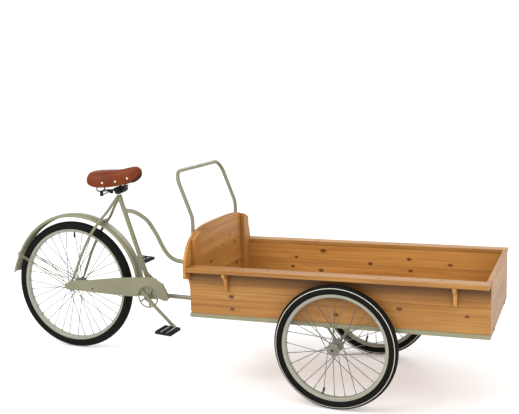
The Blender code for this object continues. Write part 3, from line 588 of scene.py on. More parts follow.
def rim_profile(radius):
    """A box rim with rolled edges and a rounded inner face."""
    half = [(-0.0498, 0.0), (-0.0500, 0.0040), (-0.0492, 0.0085), (-0.0470, 0.0112), (-0.0440, 0.0126)]
    half += [(-0.0395, 0.0134), (-0.0368, 0.0140), (-0.0355, 0.0147), (-0.0352, 0.0140), (-0.0366, 0.0128)]
    half += [(-0.0430, 0.0100), (-0.0450, 0.0060)]
    ring = [(r, -y) for r, y in half[::-1]] + [(r, y) for r, y in half[1:]]
    return [(radius + r, y) for r, y in ring]


def spoke_ends(radius, flange_y, flange_radius, k, count):
    """Where spoke k leaves the hub flange and where it enters the rim."""
    side = 1 if k % 2 else -1
    face = 1 if (k // 2) % 2 else -1
    at_rim = 2 * pi * k / count
    at_hub = at_rim + face * radians(62)
    hub_r = flange_radius - 0.003
    hub = Vector((hub_r * cos(at_hub), side * (flange_y + face * 0.0019), hub_r * sin(at_hub)))
    rim_r = radius - 0.0497
    rim = Vector((rim_r * cos(at_rim), side * 0.0022, rim_r * sin(at_rim)))
    return hub, rim, side, face


def add_spokes(bm, radius, flange_y, flange_radius, count):
    """Crossed spokes, each with an elbow through the flange and a nipple at the rim."""
    for k in range(count):
        hub, rim, side, face = spoke_ends(radius, flange_y, flange_radius, k, count)
        elbow = hub - Vector((0.0, side * face * 0.0038, 0.0))
        add_sweep(bm, [elbow, hub, hub + (rim - hub) * 0.02, rim], 0.00145, 6)
        along = (rim - hub).normalized()
        nipple = [rim - along * 0.0120, rim - along * 0.0110, rim - along * 0.0015, rim + along * 0.001]
        add_sweep(bm, nipple, [0.0014, 0.0019, 0.0019, 0.0024], 8)


def add_hub(bm, flange_y, flange_radius, half_length, count):
    """A waisted shell between two pierced flanges, with stepped ends."""
    half = [(0.0, half_length), (0.0085, half_length), (0.0095, half_length - 0.0010)]
    half += [(0.0095, flange_y + 0.0042), (0.0150, flange_y + 0.0040), (0.0165, flange_y + 0.0018)]
    half += [(flange_radius - 0.0008, flange_y + 0.0016), (flange_radius, flange_y + 0.0008)]
    half += [(flange_radius, flange_y - 0.0008), (flange_radius - 0.0008, flange_y - 0.0016)]
    half += [
        (0.0170, flange_y - 0.0020), (0.0138, flange_y - 0.0070), (0.0128, flange_y - 0.0160), (0.0125, 0.0)
    ]
    profile = [(r, -y) for r, y in half] + [(r, y) for r, y in half[-2::-1]]
    add_turned(bm, profile, 40)
    for k in range(count):
        hub, _, side, face = spoke_ends(0.25, flange_y, flange_radius, k, count)
        place = at(hub.x, side * (flange_y - face * 0.0016), hub.z, 0 if side * face > 0 else 180)
        add_dome(bm, place, 0.0017, 0.0009, 8)


def build_valve(name, radius, turn, body, place):
    """A black valve that points from the rim to the hub."""
    bm = bmesh.new()
    steps = (
        (0.0490, 0.0048), (0.0510, 0.0048), (0.0525, 0.0038), (0.0610, 0.0038), (0.0615, 0.0045),
        (0.0750, 0.0045), (0.0765, 0.0032)
    )
    inward = [((radius - depth) * cos(turn), 0.0, (radius - depth) * sin(turn)) for depth, size in steps]
    add_sweep(bm, inward, [size for depth, size in steps], 14)
    piece(name, bm, BLACK_RUBBER, body, place)


def build_wheel(name, body, centre, radius, flange, half_length, count, valve_turn, stripe=True):
    place = Matrix.Translation(centre)
    flange_y, flange_radius = flange
    bm = bmesh.new()
    add_turned(bm, tyre_profile(radius), 144)
    look = tyre_look(name + "_tyre_rubber", radius, stripe)
    piece(name + "_tyre_detail", bm, look, body, place, (name + "_tyre",), angle=50)
    bm = bmesh.new()
    add_turned(bm, rim_profile(radius), 144)
    piece(name + "_rim_detail", bm, RIM_PAINT, body, place, (name + "_rim",))
    bm = bmesh.new()
    add_spokes(bm, radius, flange_y, flange_radius, count)
    piece(name + "_spokes", bm, SPOKE_METAL, body, place)
    bm = bmesh.new()
    add_hub(bm, flange_y, flange_radius, half_length, count)
    piece(name + "_hub_detail", bm, HUB_METAL, body, place, (name + "_hub",))
    build_valve(name + "_valve", radius, valve_turn, body, place)


def build_wheels():
    build_wheel(
        "rear", "rear_wheel", REAR_AXLE, REAR_RADIUS, (0.0330, 0.0230), 0.0500, REAR_SPOKES, radians(90),
        False
    )
    for side_name, side in SIDES:
        body = f"front_{side_name}_wheel"
        turn = atan2(-0.186, -0.046)
        build_wheel(
            "front_" + side_name, body, FRONT_AXLES[side_name], FRONT_RADIUS, (0.0340, 0.0245), 0.0395,
            FRONT_SPOKES, turn
        )


# ---- rear half ----
def seat_point(height, y=0.0):
    """A point on the seat tube's line at a height above the ground."""
    return Vector((SEAT_FOOT_X - SEAT_LEAN * (height - BRACKET[1]), y, height))


def add_weld(bm, centre, axis, radius, size):
    """A soft bead round a tube where it meets another one."""
    axis = Vector(axis).normalized()
    side = axis.orthogonal().normalized()
    up = axis.cross(side)
    rings = []
    for k in range(24):
        turn = 2 * pi * k / 24
        out = cos(turn) * side + sin(turn) * up
        ring = []
        for j in range(8):
            around = 2 * pi * j / 8
            ring.append(
                bm.verts.new(
                    Vector(centre) + out * (radius + size * cos(around)) + axis * size * 1.4 * sin(around)
                )
            )
        rings.append(ring)
    skin(bm, rings, closed=True)


def build_main_tubes():
    bm = bmesh.new()
    add_sweep(bm, [seat_point(BRACKET[1]), seat_point(0.729)], 0.0105, 28)
    add_sweep(
        bm, [seat_point(0.712), seat_point(0.714), seat_point(0.734), seat_point(0.7355)],
        [0.0108, 0.0122, 0.0122, 0.0112], 28
    )
    add_weld(bm, seat_point(BRACKET[1] + 0.0195), seat_point(1.0) - seat_point(0.0), 0.0106, 0.0016)
    piece("seat_tube_detail", bm, SAGE, "rear_frame", stands_for=("seat_tube",))
    bm = bmesh.new()
    knots = [
        (0.2680, 0.6640), (0.2880, 0.6655), (0.3000, 0.6650), (0.3220, 0.6600), (0.3555, 0.6440),
        (0.3875, 0.6200)
    ]
    knots += [
        (0.4270, 0.5640), (0.4520, 0.5180), (0.4755, 0.4840), (0.5000, 0.4630), (0.5270, 0.4525),
        (0.5540, 0.4490)
    ]
    knots.append((STEERING_X - REAR_AXLE.x - 0.012, 0.4312))
    add_sweep(bm, smooth_path([(x, 0.0, z) for x, z in knots], 8), 0.0095, 24)
    add_weld(bm, (0.2790, 0.0, 0.6653), (1.0, 0.0, 0.08), 0.0096, 0.0013)
    add_weld(bm, (0.6660, 0.0, 0.4320), (1.0, 0.0, -0.12), 0.0096, 0.0014)
    piece("swan_tube_detail", bm, SAGE, "rear_frame", stands_for=("swan_tube",))
    bm = bmesh.new()
    add_sweep(bm, [(BRACKET[0] + 0.012, 0.0, 0.2860), (0.6750, 0.0, 0.2860)], 0.0100, 24)
    add_weld(bm, (0.6665, 0.0, 0.2860), (1.0, 0.0, 0.0), 0.0101, 0.0015)
    add_weld(bm, (BRACKET[0] + 0.0195, 0.0, 0.2860), (1.0, 0.0, 0.0), 0.0101, 0.0015)
    piece("lower_tube_detail", bm, SAGE, "rear_frame", stands_for=("lower_tube",))
    bm = bmesh.new()
    half = [
        (0.0080, 0.0340), (0.0168, 0.0340), (0.0175, 0.0332), (0.0175, 0.0300), (0.0190, 0.0296),
        (0.0190, 0.0)
    ]
    profile = [(r, -y) for r, y in half] + [(r, y) for r, y in half[-2::-1]]
    add_turned(bm, profile, 36, at(BRACKET[0], 0.0, BRACKET[1]))
    piece("bottom_bracket_detail", bm, SAGE, "rear_frame", stands_for=("bottom_bracket_shell",))


def build_head():
    """The head tube with a bearing cup at each end."""
    x = STEERING_X - REAR_AXLE.x
    upright = Matrix.Translation((x, 0.0, 0.0)) @ Matrix.Rotation(radians(90), 4, "X")
    bm = bmesh.new()
    profile = [(0.0100, 0.2624), (0.0185, 0.2624), (0.0190, 0.2632), (0.0190, 0.2700), (0.0172, 0.2712)]
    profile += [(0.0170, 0.4420), (0.0190, 0.4432), (0.0190, 0.4508), (0.0185, 0.4516), (0.0100, 0.4516)]
    add_turned(bm, profile, 36, upright)
    piece("head_tube_detail", bm, SAGE, "rear_frame", stands_for=("head_tube",))
    bm = bmesh.new()
    add_turned(
        bm,
        [
            (0.0, 0.2440), (0.0075, 0.2440), (0.0080, 0.2450), (0.0080, 0.4690), (0.0075, 0.4698),
            (0.0, 0.4698)
        ],
        24, upright
    )
    add_hexagon(bm, upright, 0.0125, 0.4625, 0.4690)
    add_hexagon(bm, upright, 0.0125, 0.2455, 0.2515)
    piece("steering_pin", bm, BRIGHT_METAL, "front_box")
    bm = bmesh.new()
    for low, high in ((0.2520, 0.2580), (0.4560, 0.4620)):
        add_block(bm, (x - 0.0170, -0.0180, low), (x + 0.0400, 0.0180, high))
    add_block(bm, (x + 0.0365, -0.0260, 0.2520), (x + 0.0405, 0.0260, 0.4620))
    piece("steering_bracket_detail", bm, SAGE, "front_box", stands_for=("steering_bracket",), bevel=0.0012)


def build_stays():
    for side_name, side in SIDES:
        bm = bmesh.new()
        knots = [
            (0.2400, 0.0110, 0.7320), (0.2270, 0.0150, 0.7130), (0.2180, 0.0160, 0.7000),
            (0.1920, 0.0270, 0.6600)
        ]
        knots += [(0.1650, 0.0430, 0.6215), (0.1120, 0.0460, 0.5490), (0.0660, 0.0470, 0.4600)]
        knots += [(0.0300, 0.0500, 0.3710), (0.0100, 0.0520, 0.3225)]
        path = smooth_path(mirrored(knots, side), 7)
        radii = [0.0065] * (len(path) - 7) + [0.0064, 0.0061, 0.0056, 0.0050, 0.0045, 0.0041, 0.0037]
        add_sweep(bm, path, radii, 20)
        piece(
            "seat_stay_detail_" + side_name, bm, SAGE, "rear_frame", stands_for=("seat_stay_" + side_name,)
        )
        bm = bmesh.new()
        knots = [(0.3960, 0.0200, 0.2900), (0.3400, 0.0300, 0.2910), (0.0500, 0.0525, 0.2980)]
        path = smooth_path(mirrored(knots, side), 10)
        radii = [0.0070] * (len(path) - 5) + [0.0069, 0.0066, 0.0060, 0.0050, 0.0036]
        add_sweep(bm, path, radii, 20)
        piece(
            "chain_stay_detail_" + side_name, bm, SAGE, "rear_frame", stands_for=("chain_stay_" + side_name,)
        )
        build_dropout(side_name, side)
    bm = bmesh.new()
    add_sweep(bm, [(0.1625, -0.0400, 0.6160), (0.1625, 0.0400, 0.6160)], 0.0050, 18)
    piece("stay_bridge_detail", bm, SAGE, "rear_frame", stands_for=("stay_bridge",))


def build_dropout(side_name, side):
    """A flat fork end with a rounded outline; the axle nut clamps it."""
    bm = bmesh.new()
    outline = [(0.066, 0.2945), (0.066, 0.3015), (0.024, 0.3130), (0.013, 0.3230), (0.004, 0.3250)]
    outline += [(-0.006, 0.3150), (-0.0150, 0.3090), (-0.0180, 0.3000), (-0.0150, 0.2910), (-0.004, 0.2862)]
    outline += [(0.012, 0.2865), (0.036, 0.2925)]
    faces_y = sorted((side * 0.0515, side * 0.0555))
    add_plate(bm, outline, *faces_y)
    piece("dropout_" + side_name, bm, SAGE, "rear_frame", bevel=0.0008)


def build_axle():
    bm = bmesh.new()
    add_turned(
        bm,
        [
            (0.0, -0.0694), (0.0044, -0.0694), (0.0048, -0.0688), (0.0048, 0.0688), (0.0044, 0.0694),
            (0.0, 0.0694)
        ],
        20
    )
    for side in (-1, 1):
        add_hexagon(bm, Matrix.Identity(4), 0.0092, *sorted((side * 0.0575, side * 0.0640)))
        low, high = sorted((side * 0.0557, side * 0.0575))
        add_turned(bm, [(0.0, low), (0.0110, low), (0.0110, high), (0.0, high)], 28)
    piece("rear_axle_detail", bm, BLACK_METAL, "rear_frame", Matrix.Translation(REAR_AXLE), ("rear_axle",))


def guard_point(turn, depth, y):
    """A point of the mudguard; the tail flares a little over its last stretch."""
    flare = 0.011 * max(0.0, (turn - radians(150)) / radians(24)) ** 2
    radius = GUARD_RADIUS + flare - depth
    return (GUARD_CENTRE[0] + radius * cos(turn), y, GUARD_CENTRE[1] + radius * sin(turn))


def guard_section():
    """(depth, y) round the channel: a rounded crown, straight skirts and rolled edges."""
    w = GUARD_HALF
    d = GUARD_DEPTH
    outer = [
        (d, w), (d - 0.0012, w + 0.0002), (0.0085, w - 0.0010), (0.0045, w - 0.0045), (0.0018, w - 0.0100),
        (0.0004, w - 0.0190)
    ]
    inner = [
        (0.0016, w - 0.0190), (0.0030, w - 0.0105), (0.0055, w - 0.0056), (0.0090, w - 0.0024),
        (d - 0.0012, w - 0.0014), (d, w - 0.0012)
    ]
    right = [(depth, -y) for depth, y in outer]
    crown = [(0.0, 0.0)]
    under = [(0.0012, 0.0)]
    left_in = [(depth, y) for depth, y in inner[::-1]]
    right_in = [(depth, -y) for depth, y in inner]
    return right + crown + outer[::-1] + left_in + under + right_in


def build_mudguard():
    bm = bmesh.new()
    section = guard_section()
    steps = 90
    rings = []
    for i in range(steps + 1):
        turn = radians(4 + 170.5 * i / steps)
        rings.append([bm.verts.new(guard_point(turn, depth, y)) for depth, y in section])
    skin(bm, rings)
    bm.faces.new(rings[0][::-1])
    bm.faces.new(rings[-1])
    piece("mudguard_detail", bm, SAGE, "rear_frame", stands_for=("mudguard",), angle=55)
    for side_name, side in SIDES:
        bm = bmesh.new()
        corners = [
            (-0.0215, 0.0540, 0.3035), (-0.2944, 0.0328, 0.4295), (-0.2912, 0.0328, 0.4365),
            (-0.0180, 0.0540, 0.3160)
        ]
        add_sweep(bm, rounded_path(mirrored(corners, side), [0.0032, 0.0032], 6), 0.0020, 12)
        piece("guard_wire_" + side_name, bm, SAGE, "rear_frame", stands_for=("mudguard_stay_" + side_name,))
        bm = bmesh.new()
        add_dome(bm, at(-0.2870, side * 0.0300, 0.4300, 0 if side < 0 else 180), 0.0050, 0.0040)
        piece("guard_bolt_" + side_name, bm, BRIGHT_METAL, "rear_frame")
    build_guard_fittings()


def build_guard_fittings():
    """The raised strap where the wires meet the tail, and the black clip under the stay bridge."""
    bm = bmesh.new()
    rings = []
    for degree in (155.0, 156.2, 158.4, 159.6):
        turn = radians(degree)
        lift = 0.0022 if 155.5 < degree < 159.0 else 0.0004
        ring = []
        for depth, y in guard_section()[:13]:
            ring.append(bm.verts.new(guard_point(turn, depth - lift, y * (1 + lift / 0.03))))
        rings.append(ring)
    skin(bm, rings, wrap=False)
    bmesh.ops.solidify(bm, geom=bm.faces[:], thickness=0.0010)
    piece("guard_strap", bm, SAGE, "rear_frame", angle=50)
    bm = bmesh.new()
    add_block(bm, (0.1500, -0.0080, 0.5850), (0.1660, 0.0080, 0.5990))
    add_sweep(bm, [(0.1580, 0.0, 0.5990), (0.1640, 0.0, 0.6190)], 0.0030, 12)
    piece("guard_clip", bm, BLACK_METAL, "rear_frame", bevel=0.0015)


# ---- chain case ----
def case_edge():
    knots = [(-0.0200, 0.3030), (-0.0020, 0.3210), (0.0245, 0.3330), (0.1060, 0.3420), (0.2800, 0.3680)]
    knots += [(0.4300, 0.3800), (0.4630, 0.3680), (0.4860, 0.3520), (0.5040, 0.3230), (0.5160, 0.2910)]
    return [(x, z) for x, y, z in smooth_path([(x, 0.0, z) for x, z in knots], 6)]


def case_outline():
    notch = []
    for i in range(25):
        turn = pi * i / 24
        notch.append((BRACKET[0] + 0.0505 * cos(turn), BRACKET[1] + 0.0505 * sin(turn)))
    low = [(0.3560, 0.2880), (0.2780, 0.2855), (0.1290, 0.2885), (-0.0080, 0.2925)]
    return case_edge() + [(0.5100, 0.2810), (0.4850, 0.2810)] + notch + low


def build_chain_case():
    bm = bmesh.new()
    add_plate(bm, case_outline(), CASE_OUT_Y, CASE_OUT_Y + 0.0014)
    piece("chain_case_face", bm, SAGE, "rear_frame", stands_for=("chain_case",), bevel=0.0005)
    bm = bmesh.new()
    rings = []
    for x, z, nx, nz in edge_normals(case_edge()):
        ring = []
        for inset, y in (
            (0.0018, CASE_OUT_Y + 0.0001), (0.0004, CASE_OUT_Y + 0.0006), (0.0, CASE_OUT_Y + 0.0020),
            (0.0, CASE_IN_Y)
        ):
            ring.append(bm.verts.new((x + nx * inset, y, z + nz * inset)))
        for inset, y in ((0.0013, CASE_IN_Y), (0.0013, CASE_OUT_Y + 0.0013)):
            ring.append(bm.verts.new((x + nx * inset, y, z + nz * inset)))
        rings.append(ring)
    skin(bm, rings)
    bm.faces.new(rings[0][::-1])
    bm.faces.new(rings[-1])
    piece("chain_case_rim", bm, SAGE, "rear_frame", angle=50)
    build_case_fittings()


def edge_normals(points):
    """(x, z, inward x, inward z) along an edge whose inside is on its right."""
    found = []
    for i, (x, z) in enumerate(points):
        x0, z0 = points[max(i - 1, 0)]
        x1, z1 = points[min(i + 1, len(points) - 1)]
        length = hypot(x1 - x0, z1 - z0)
        found.append((x, z, (z1 - z0) / length, -(x1 - x0) / length))
    return found


def build_case_fittings():
    """Two small screws, the clip on the front edge, and the rolled lip round the notch."""
    bm = bmesh.new()
    for x, z, radius in ((0.1320, 0.3050, 0.0038), (0.1890, 0.3060, 0.0012), (0.2560, 0.3110, 0.0010)):
        add_dome(bm, at(x, CASE_OUT_Y, z), radius, 0.0012, 16)
    piece("chain_case_screws", bm, BLACK_METAL, "rear_frame")
    bm = bmesh.new()
    add_block(bm, (0.4720, CASE_OUT_Y - 0.0006, 0.3560), (0.4930, CASE_OUT_Y + 0.0045, 0.3600))
    piece("chain_case_clip", bm, SAGE, "rear_frame", bevel=0.0008)
    bm = bmesh.new()
    lip = []
    for i in range(33):
        turn = radians(4 + 172 * i / 32)
        lip.append((BRACKET[0] + 0.0509 * cos(turn), CASE_OUT_Y + 0.0008, BRACKET[1] + 0.0509 * sin(turn)))
    add_sweep(bm, lip, 0.0011, 8)
    front = [(0.5100, CASE_OUT_Y + 0.0008, 0.2818), (0.4850, CASE_OUT_Y + 0.0008, 0.2818)]
    add_sweep(bm, front, 0.0011, 8)
    # The lip takes the darker copy of the sage: painted shade round the notch.
    piece("chain_case_lip", bm, SHADED_SAGE, "rear_frame")
    build_case_back()


def build_case_back():
    """The inner half of the case, seen behind the chainwheel, with a hole for the spindle."""
    bm = bmesh.new()
    foot = 0.2885 - BRACKET[1]
    top = []
    for i in range(25):
        turn = pi * i / 24
        top.append((0.0560 * cos(turn), max(foot, 0.0560 * sin(turn))))
    arch = []
    for i in range(25):
        turn = pi * i / 24
        arch.append((0.0210 * cos(turn), max(foot, 0.0210 * sin(turn))))
    add_plate(bm, top + arch[::-1], CASE_IN_Y, CASE_IN_Y + 0.0010)
    piece(
        "chain_case_back", bm, SAGE, "rear_frame", REAR @ Matrix.Translation((BRACKET[0], 0.0, BRACKET[1]))
    )


# ---- cranks and pedals ----
def build_chainwheel():
    place = at(BRACKET[0], 0.0, BRACKET[1])
    bm = bmesh.new()
    low, high = -0.0680, -0.0645
    add_turned(
        bm,
        [
            (0.0447, low), (0.0496, low), (0.0502, low + 0.0006), (0.0502, high), (0.0445, high),
            (0.0445, low + 0.0002)
        ],
        72, place
    )
    add_turned(
        bm, [(0.0076, low - 0.0012), (0.0165, low - 0.0012), (0.0175, low), (0.0175, high), (0.0076, high)],
        40, place
    )
    piece("chainwheel_detail", bm, SAGE, "crank", stands_for=("chainwheel",))
    for arm in range(5):
        bm = bmesh.new()
        outline = [
            (0.0140, -0.0054), (0.0300, -0.0036), (0.0455, -0.0052), (0.0455, 0.0052), (0.0300, 0.0036),
            (0.0140, 0.0054)
        ]
        add_plate(bm, outline, low + 0.0003, high - 0.0003)
        turned = place @ Matrix.Rotation(2 * pi * arm / 5 + radians(6), 4, "Y")
        bm.transform(turned)
        add_dome(bm, turned @ at(0.0425, low, 0.0), 0.0030, 0.0014, 14)
        piece(f"chainwheel_arm_{arm + 1}", bm, SAGE, "crank", bevel=0.0006)


def crank_place(side):
    angle = CRANK_ANGLE if side < 0 else CRANK_ANGLE + pi
    return at(BRACKET[0], 0.0, BRACKET[1]) @ Matrix.Rotation(-angle, 4, "Y")


def build_crank(side_name, side):
    """A forged arm: lozenge section, swollen at both ends, with a bolt at the boss."""
    place = crank_place(side)
    stations = [
        (-0.0142, 0.004), (-0.0128, 0.0082), (-0.0075, 0.0128), (0.0, 0.0144), (0.0100, 0.0128),
        (0.0220, 0.0094)
    ]
    stations += [
        (0.0500, 0.0080), (0.1000, 0.0074), (0.1550, 0.0072), (0.1700, 0.0082), (0.1790, 0.0098),
        (0.1860, 0.0080), (0.1895, 0.003)
    ]
    inner, outer = 0.0750, 0.0870
    bm = bmesh.new()
    rings = []
    for x, half in stations:
        ring = []
        for share, depth in (
            (-1.0, 0.3), (-1.0, 0.7), (-0.72, 1.0), (0.72, 1.0), (1.0, 0.7), (1.0, 0.3), (0.72, 0.0),
            (-0.72, 0.0)
        ):
            ring.append(
                bm.verts.new(place @ Vector((x, side * (inner + depth * (outer - inner)), half * share)))
            )
        rings.append(ring)
    skin(bm, rings)
    bm.faces.new(rings[0][::-1])
    bm.faces.new(rings[-1])
    piece(
        "crank_detail_" + side_name, bm, SAGE, "crank", stands_for=("crank_arm_" + side_name,), levels=1,
        angle=70
    )
    bm = bmesh.new()
    facing = 0 if side < 0 else 180
    cap = place @ at(0.0, side * outer, 0.0, facing)
    add_turned(
        bm, [(0.0, 0.0), (0.0085, 0.0), (0.0085, -0.0006), (0.0060, -0.0010), (0.0052, 0.0), (0.0, 0.0005)],
        24, cap
    )
    piece("crank_cap_" + side_name, bm, HUB_METAL, "crank")
    bm = bmesh.new()
    add_dome(bm, cap, 0.0036, 0.0010, 6)
    piece("crank_bolt_" + side_name, bm, BLACK_METAL, "crank")
    bm = bmesh.new()
    pin = [
        (0.0, 0.0790), (0.0060, 0.0790), (0.0060, 0.0878), (0.0072, 0.0882), (0.0072, 0.0920),
        (0.0042, 0.0926), (0.0042, 0.1820), (0.0, 0.1826)
    ]
    add_turned(bm, [(r, side * y) for r, y in pin], 24, place @ at(CRANK_LENGTH, 0.0, 0.0))
    piece("pedal_pin_" + side_name, bm, BRIGHT_METAL, "crank")


def build_pedal(side_name, side):
    """A flat rubber pedal: a frame of bars with two long slots, ribbed on both faces."""
    joint = Vector(JOINTS[f"pedal_{side_name}_spin"]["pos_m"])
    place = Matrix.Translation((joint.x, 0.0, joint.z)) @ Matrix.Rotation(PEDAL_TILT, 4, "Y")
    inner, outer = 0.0935, 0.1965
    body = side_name + "_pedal"
    bm = bmesh.new()
    for low_x, high_x in ((-0.0380, -0.0185), (-0.0105, 0.0105), (0.0185, 0.0380)):
        low_y, high_y = sorted((side * (inner + 0.003), side * (outer - 0.003)))
        add_block(bm, (low_x, low_y, -0.0068), (high_x, high_y, 0.0068))
    piece("pedal_bars_" + side_name, bm, BLACK_RUBBER, body, place, ("pedal_" + side_name,), bevel=0.0014)
    bm = bmesh.new()
    for low_y, high_y in ((inner, inner + 0.0035), (outer - 0.0035, outer)):
        low, high = sorted((side * low_y, side * high_y))
        add_block(bm, (-0.0378, low, -0.0062), (0.0378, high, 0.0062))
    piece("pedal_ends_" + side_name, bm, BLACK_METAL, body, place, bevel=0.0010)
    bm = bmesh.new()
    for face in (-1, 1):
        for middle in (-0.0335, -0.0285, -0.0235, -0.0060, 0.0, 0.0060, 0.0235, 0.0285, 0.0335):
            low_y, high_y = sorted((side * (inner + 0.006), side * (outer - 0.006)))
            low_z, high_z = sorted((face * 0.0064, face * 0.0078))
            add_block(bm, (middle - 0.0014, low_y, low_z), (middle + 0.0014, high_y, high_z))
    piece("pedal_ribs_" + side_name, bm, BLACK_RUBBER, body, place, bevel=0.0004, segments=1)
    bm = bmesh.new()
    for x in (-0.0145, 0.0145):
        add_sweep(bm, [(x, side * (inner + 0.001), 0.0030), (x, side * (outer - 0.001), 0.0030)], 0.0022, 12)
    piece("pedal_rods_" + side_name, bm, BRIGHT_METAL, body, place)


# ---- saddle ----
SADDLE = (
    # along, half width, crown height, skirt height
    (0.1060, 0.030, 0.826, 0.816),
    (0.1085, 0.056, 0.834, 0.806),
    (0.1150, 0.072, 0.8410, 0.796),
    (0.1280, 0.0805, 0.8445, 0.786),
    (0.1450, 0.0835, 0.8460, 0.7795),
    (0.1700, 0.0815, 0.8480, 0.7755),
    (0.1950, 0.0750, 0.8500, 0.7755),
    (0.2200, 0.0650, 0.8510, 0.7775),
    (0.2450, 0.0530, 0.8530, 0.7805),
    (0.2700, 0.0430, 0.8575, 0.7845),
    (0.2950, 0.0350, 0.8640, 0.7925),
    (0.3150, 0.0300, 0.8690, 0.8010),
    (0.3320, 0.0255, 0.8700, 0.8120),
    (0.3450, 0.0195, 0.8660, 0.8245),
    (0.3540, 0.0120, 0.8580, 0.8360),
    (0.3575, 0.0050, 0.8500, 0.8430),
)


def saddle_section(half, crown, skirt, wall=0.0):
    """Half a section, from the skirt's edge up to the crown; the skirt hangs almost straight down."""
    rows = []
    steps = 12
    for i in range(steps + 1):
        t = i / steps
        turn = pi / 2 * t
        across = cos(turn) ** 0.62
        up = sin(turn) ** 0.92
        rows.append((across * max(half - wall, 0.001), skirt + up * (crown - wall - skirt)))
    return rows


def build_saddle_cover():
    bm = bmesh.new()
    rings = []
    for x, half, crown, skirt in SADDLE:
        outer = saddle_section(half, crown, skirt)
        inner = saddle_section(half, crown, skirt, 0.0045)
        loop = [(-y, z) for y, z in outer] + [(y, z) for y, z in outer[-2::-1]]
        loop += [(y, z) for y, z in inner] + [(-y, z) for y, z in inner[-2::-1]]
        rings.append([bm.verts.new((x, y, z)) for y, z in loop])
    skin(bm, rings)
    count = len(rings[0])
    half_count = count // 2
    for ring in (rings[0], rings[-1]):
        for i in range(half_count - 1):
            bm.faces.new((ring[i], ring[i + 1], ring[count - 2 - i], ring[count - 1 - i]))
    cover = piece("saddle_leather", bm, LEATHER, "saddle", stands_for=("saddle_cover",), levels=2, angle=80)


def saddle_side(x, height):
    """Half the saddle's width, at a place along it and a height above the ground."""
    for (x0, h0, c0, s0), (x1, h1, c1, s1) in zip(SADDLE, SADDLE[1:]):
        if x0 <= x <= x1:
            t = (x - x0) / (x1 - x0)
            half, crown, skirt = h0 + (h1 - h0) * t, c0 + (c1 - c0) * t, s0 + (s1 - s0) * t
    rows = saddle_section(half, crown, skirt)
    for (y0, z0), (y1, z1) in zip(rows, rows[1:]):
        if z0 <= height <= z1:
            t = (height - z0) / (z1 - z0)
            return y0 + (y1 - y0) * t
    return half


def build_saddle_trim():
    bm = bmesh.new()
    for x, z in ((0.1960, 0.7970), (0.2490, 0.8030), (0.3000, 0.8180)):
        y = saddle_side(x, z)
        slope = degrees(atan2(saddle_side(x - 0.01, z) - saddle_side(x + 0.01, z), 0.02))
        for side in (-1, 1):
            turn = slope if side < 0 else 180 - slope
            add_dome(bm, at(x, side * (y - 0.0008), z, turn), 0.0052, 0.0030, 20)
    piece("saddle_rivets", bm, RIVET_METAL, "saddle")
    bm = bmesh.new()
    lip = [
        (0.2900, 0.0345, 0.7915), (0.3140, 0.0285, 0.8010), (0.3320, 0.0235, 0.8125),
        (0.3460, 0.0160, 0.8265), (0.3550, 0.0050, 0.8410)
    ]
    path = smooth_path(lip + mirrored(lip[::-1], -1), 6)
    add_sweep(bm, path, 0.0026, 12)
    piece("saddle_nose_edge", bm, BLACK_METAL, "saddle")


def build_saddle_frame():
    bm = bmesh.new()
    half = [
        (0.166, 0.048, 0.800), (0.152, 0.042, 0.772), (0.147, 0.034, 0.7580), (0.152, 0.0250, 0.7530),
        (0.200, 0.0240, 0.7560)
    ]
    half += [(0.2400, 0.0240, 0.7660), (0.262, 0.022, 0.784), (0.278, 0.014, 0.800), (0.282, 0.0, 0.806)]
    add_sweep(bm, smooth_path(half + mirrored(half[-2::-1], -1), 7), 0.0027, 14)
    piece("saddle_wire", bm, BLACK_METAL, "saddle", stands_for=("saddle_rails",))
    bm = bmesh.new()
    add_block(bm, (0.1450, -0.0070, 0.7265), (0.1560, 0.0070, 0.7500))
    add_block(bm, (0.1960, -0.0070, 0.7420), (0.2080, 0.0070, 0.7600))
    add_sweep(bm, [(0.1505, 0.0, 0.7305), (0.2020, 0.0, 0.7540)], 0.0026, 12)
    for x, z in ((0.1505, 0.7460), (0.2020, 0.7540)):
        add_sweep(bm, [(x, -0.0255, z + 0.0050), (x, 0.0255, z + 0.0050)], 0.0022, 10)
    piece("saddle_clips", bm, BLACK_METAL, "saddle", bevel=0.0012)
    bm = bmesh.new()
    outline = [
        (0.2300, 0.7445), (0.2410, 0.7405), (0.2570, 0.7465), (0.2735, 0.7545), (0.2790, 0.7640),
        (0.2770, 0.7745), (0.2830, 0.7850), (0.2420, 0.7770), (0.2225, 0.7690), (0.2235, 0.7580)
    ]
    add_plate(bm, outline, -0.0195, 0.0195)
    piece(
        "seat_clamp_detail", bm, BLACK_METAL, "saddle", stands_for=("seat_clamp",), bevel=0.0030, segments=3
    )
    bm = bmesh.new()
    for side in (-1, 1):
        place = at(0.2500, side * 0.0195, 0.7610)
        add_turned(
            bm,
            [
                (0.0, 0.0), (0.0120, 0.0), (0.0120, side * 0.0090), (0.0105, side * 0.0102),
                (0.0, side * 0.0102)
            ],
            24, place
        )
        add_hexagon(bm, place, 0.0075, *sorted((side * 0.0100, side * 0.0150)))
    piece("seat_clamp_discs", bm, BLACK_METAL, "saddle")
    bm = bmesh.new()
    add_sweep(bm, [seat_point(0.6000), seat_point(0.7440)], 0.0085, 24)
    piece("seat_post_detail", bm, BRIGHT_METAL, "saddle", stands_for=("seat_post",))


# ---- box ----
def arch_z(y):
    """Height of the rear board's rounded top at a distance from its middle."""
    across = min(abs(y) / SHELF_HALF, 1.0)
    return ARCH_FOOT_Z + (ARCH_TOP_Z - ARCH_FOOT_Z) * sqrt(max(0.0, 1.0 - across**ARCH_FULLNESS))


def arch_y(z):
    share = (z - ARCH_FOOT_Z) / (ARCH_TOP_Z - ARCH_FOOT_Z)
    return SHELF_HALF * (1.0 - share**2) ** (1 / ARCH_FULLNESS)


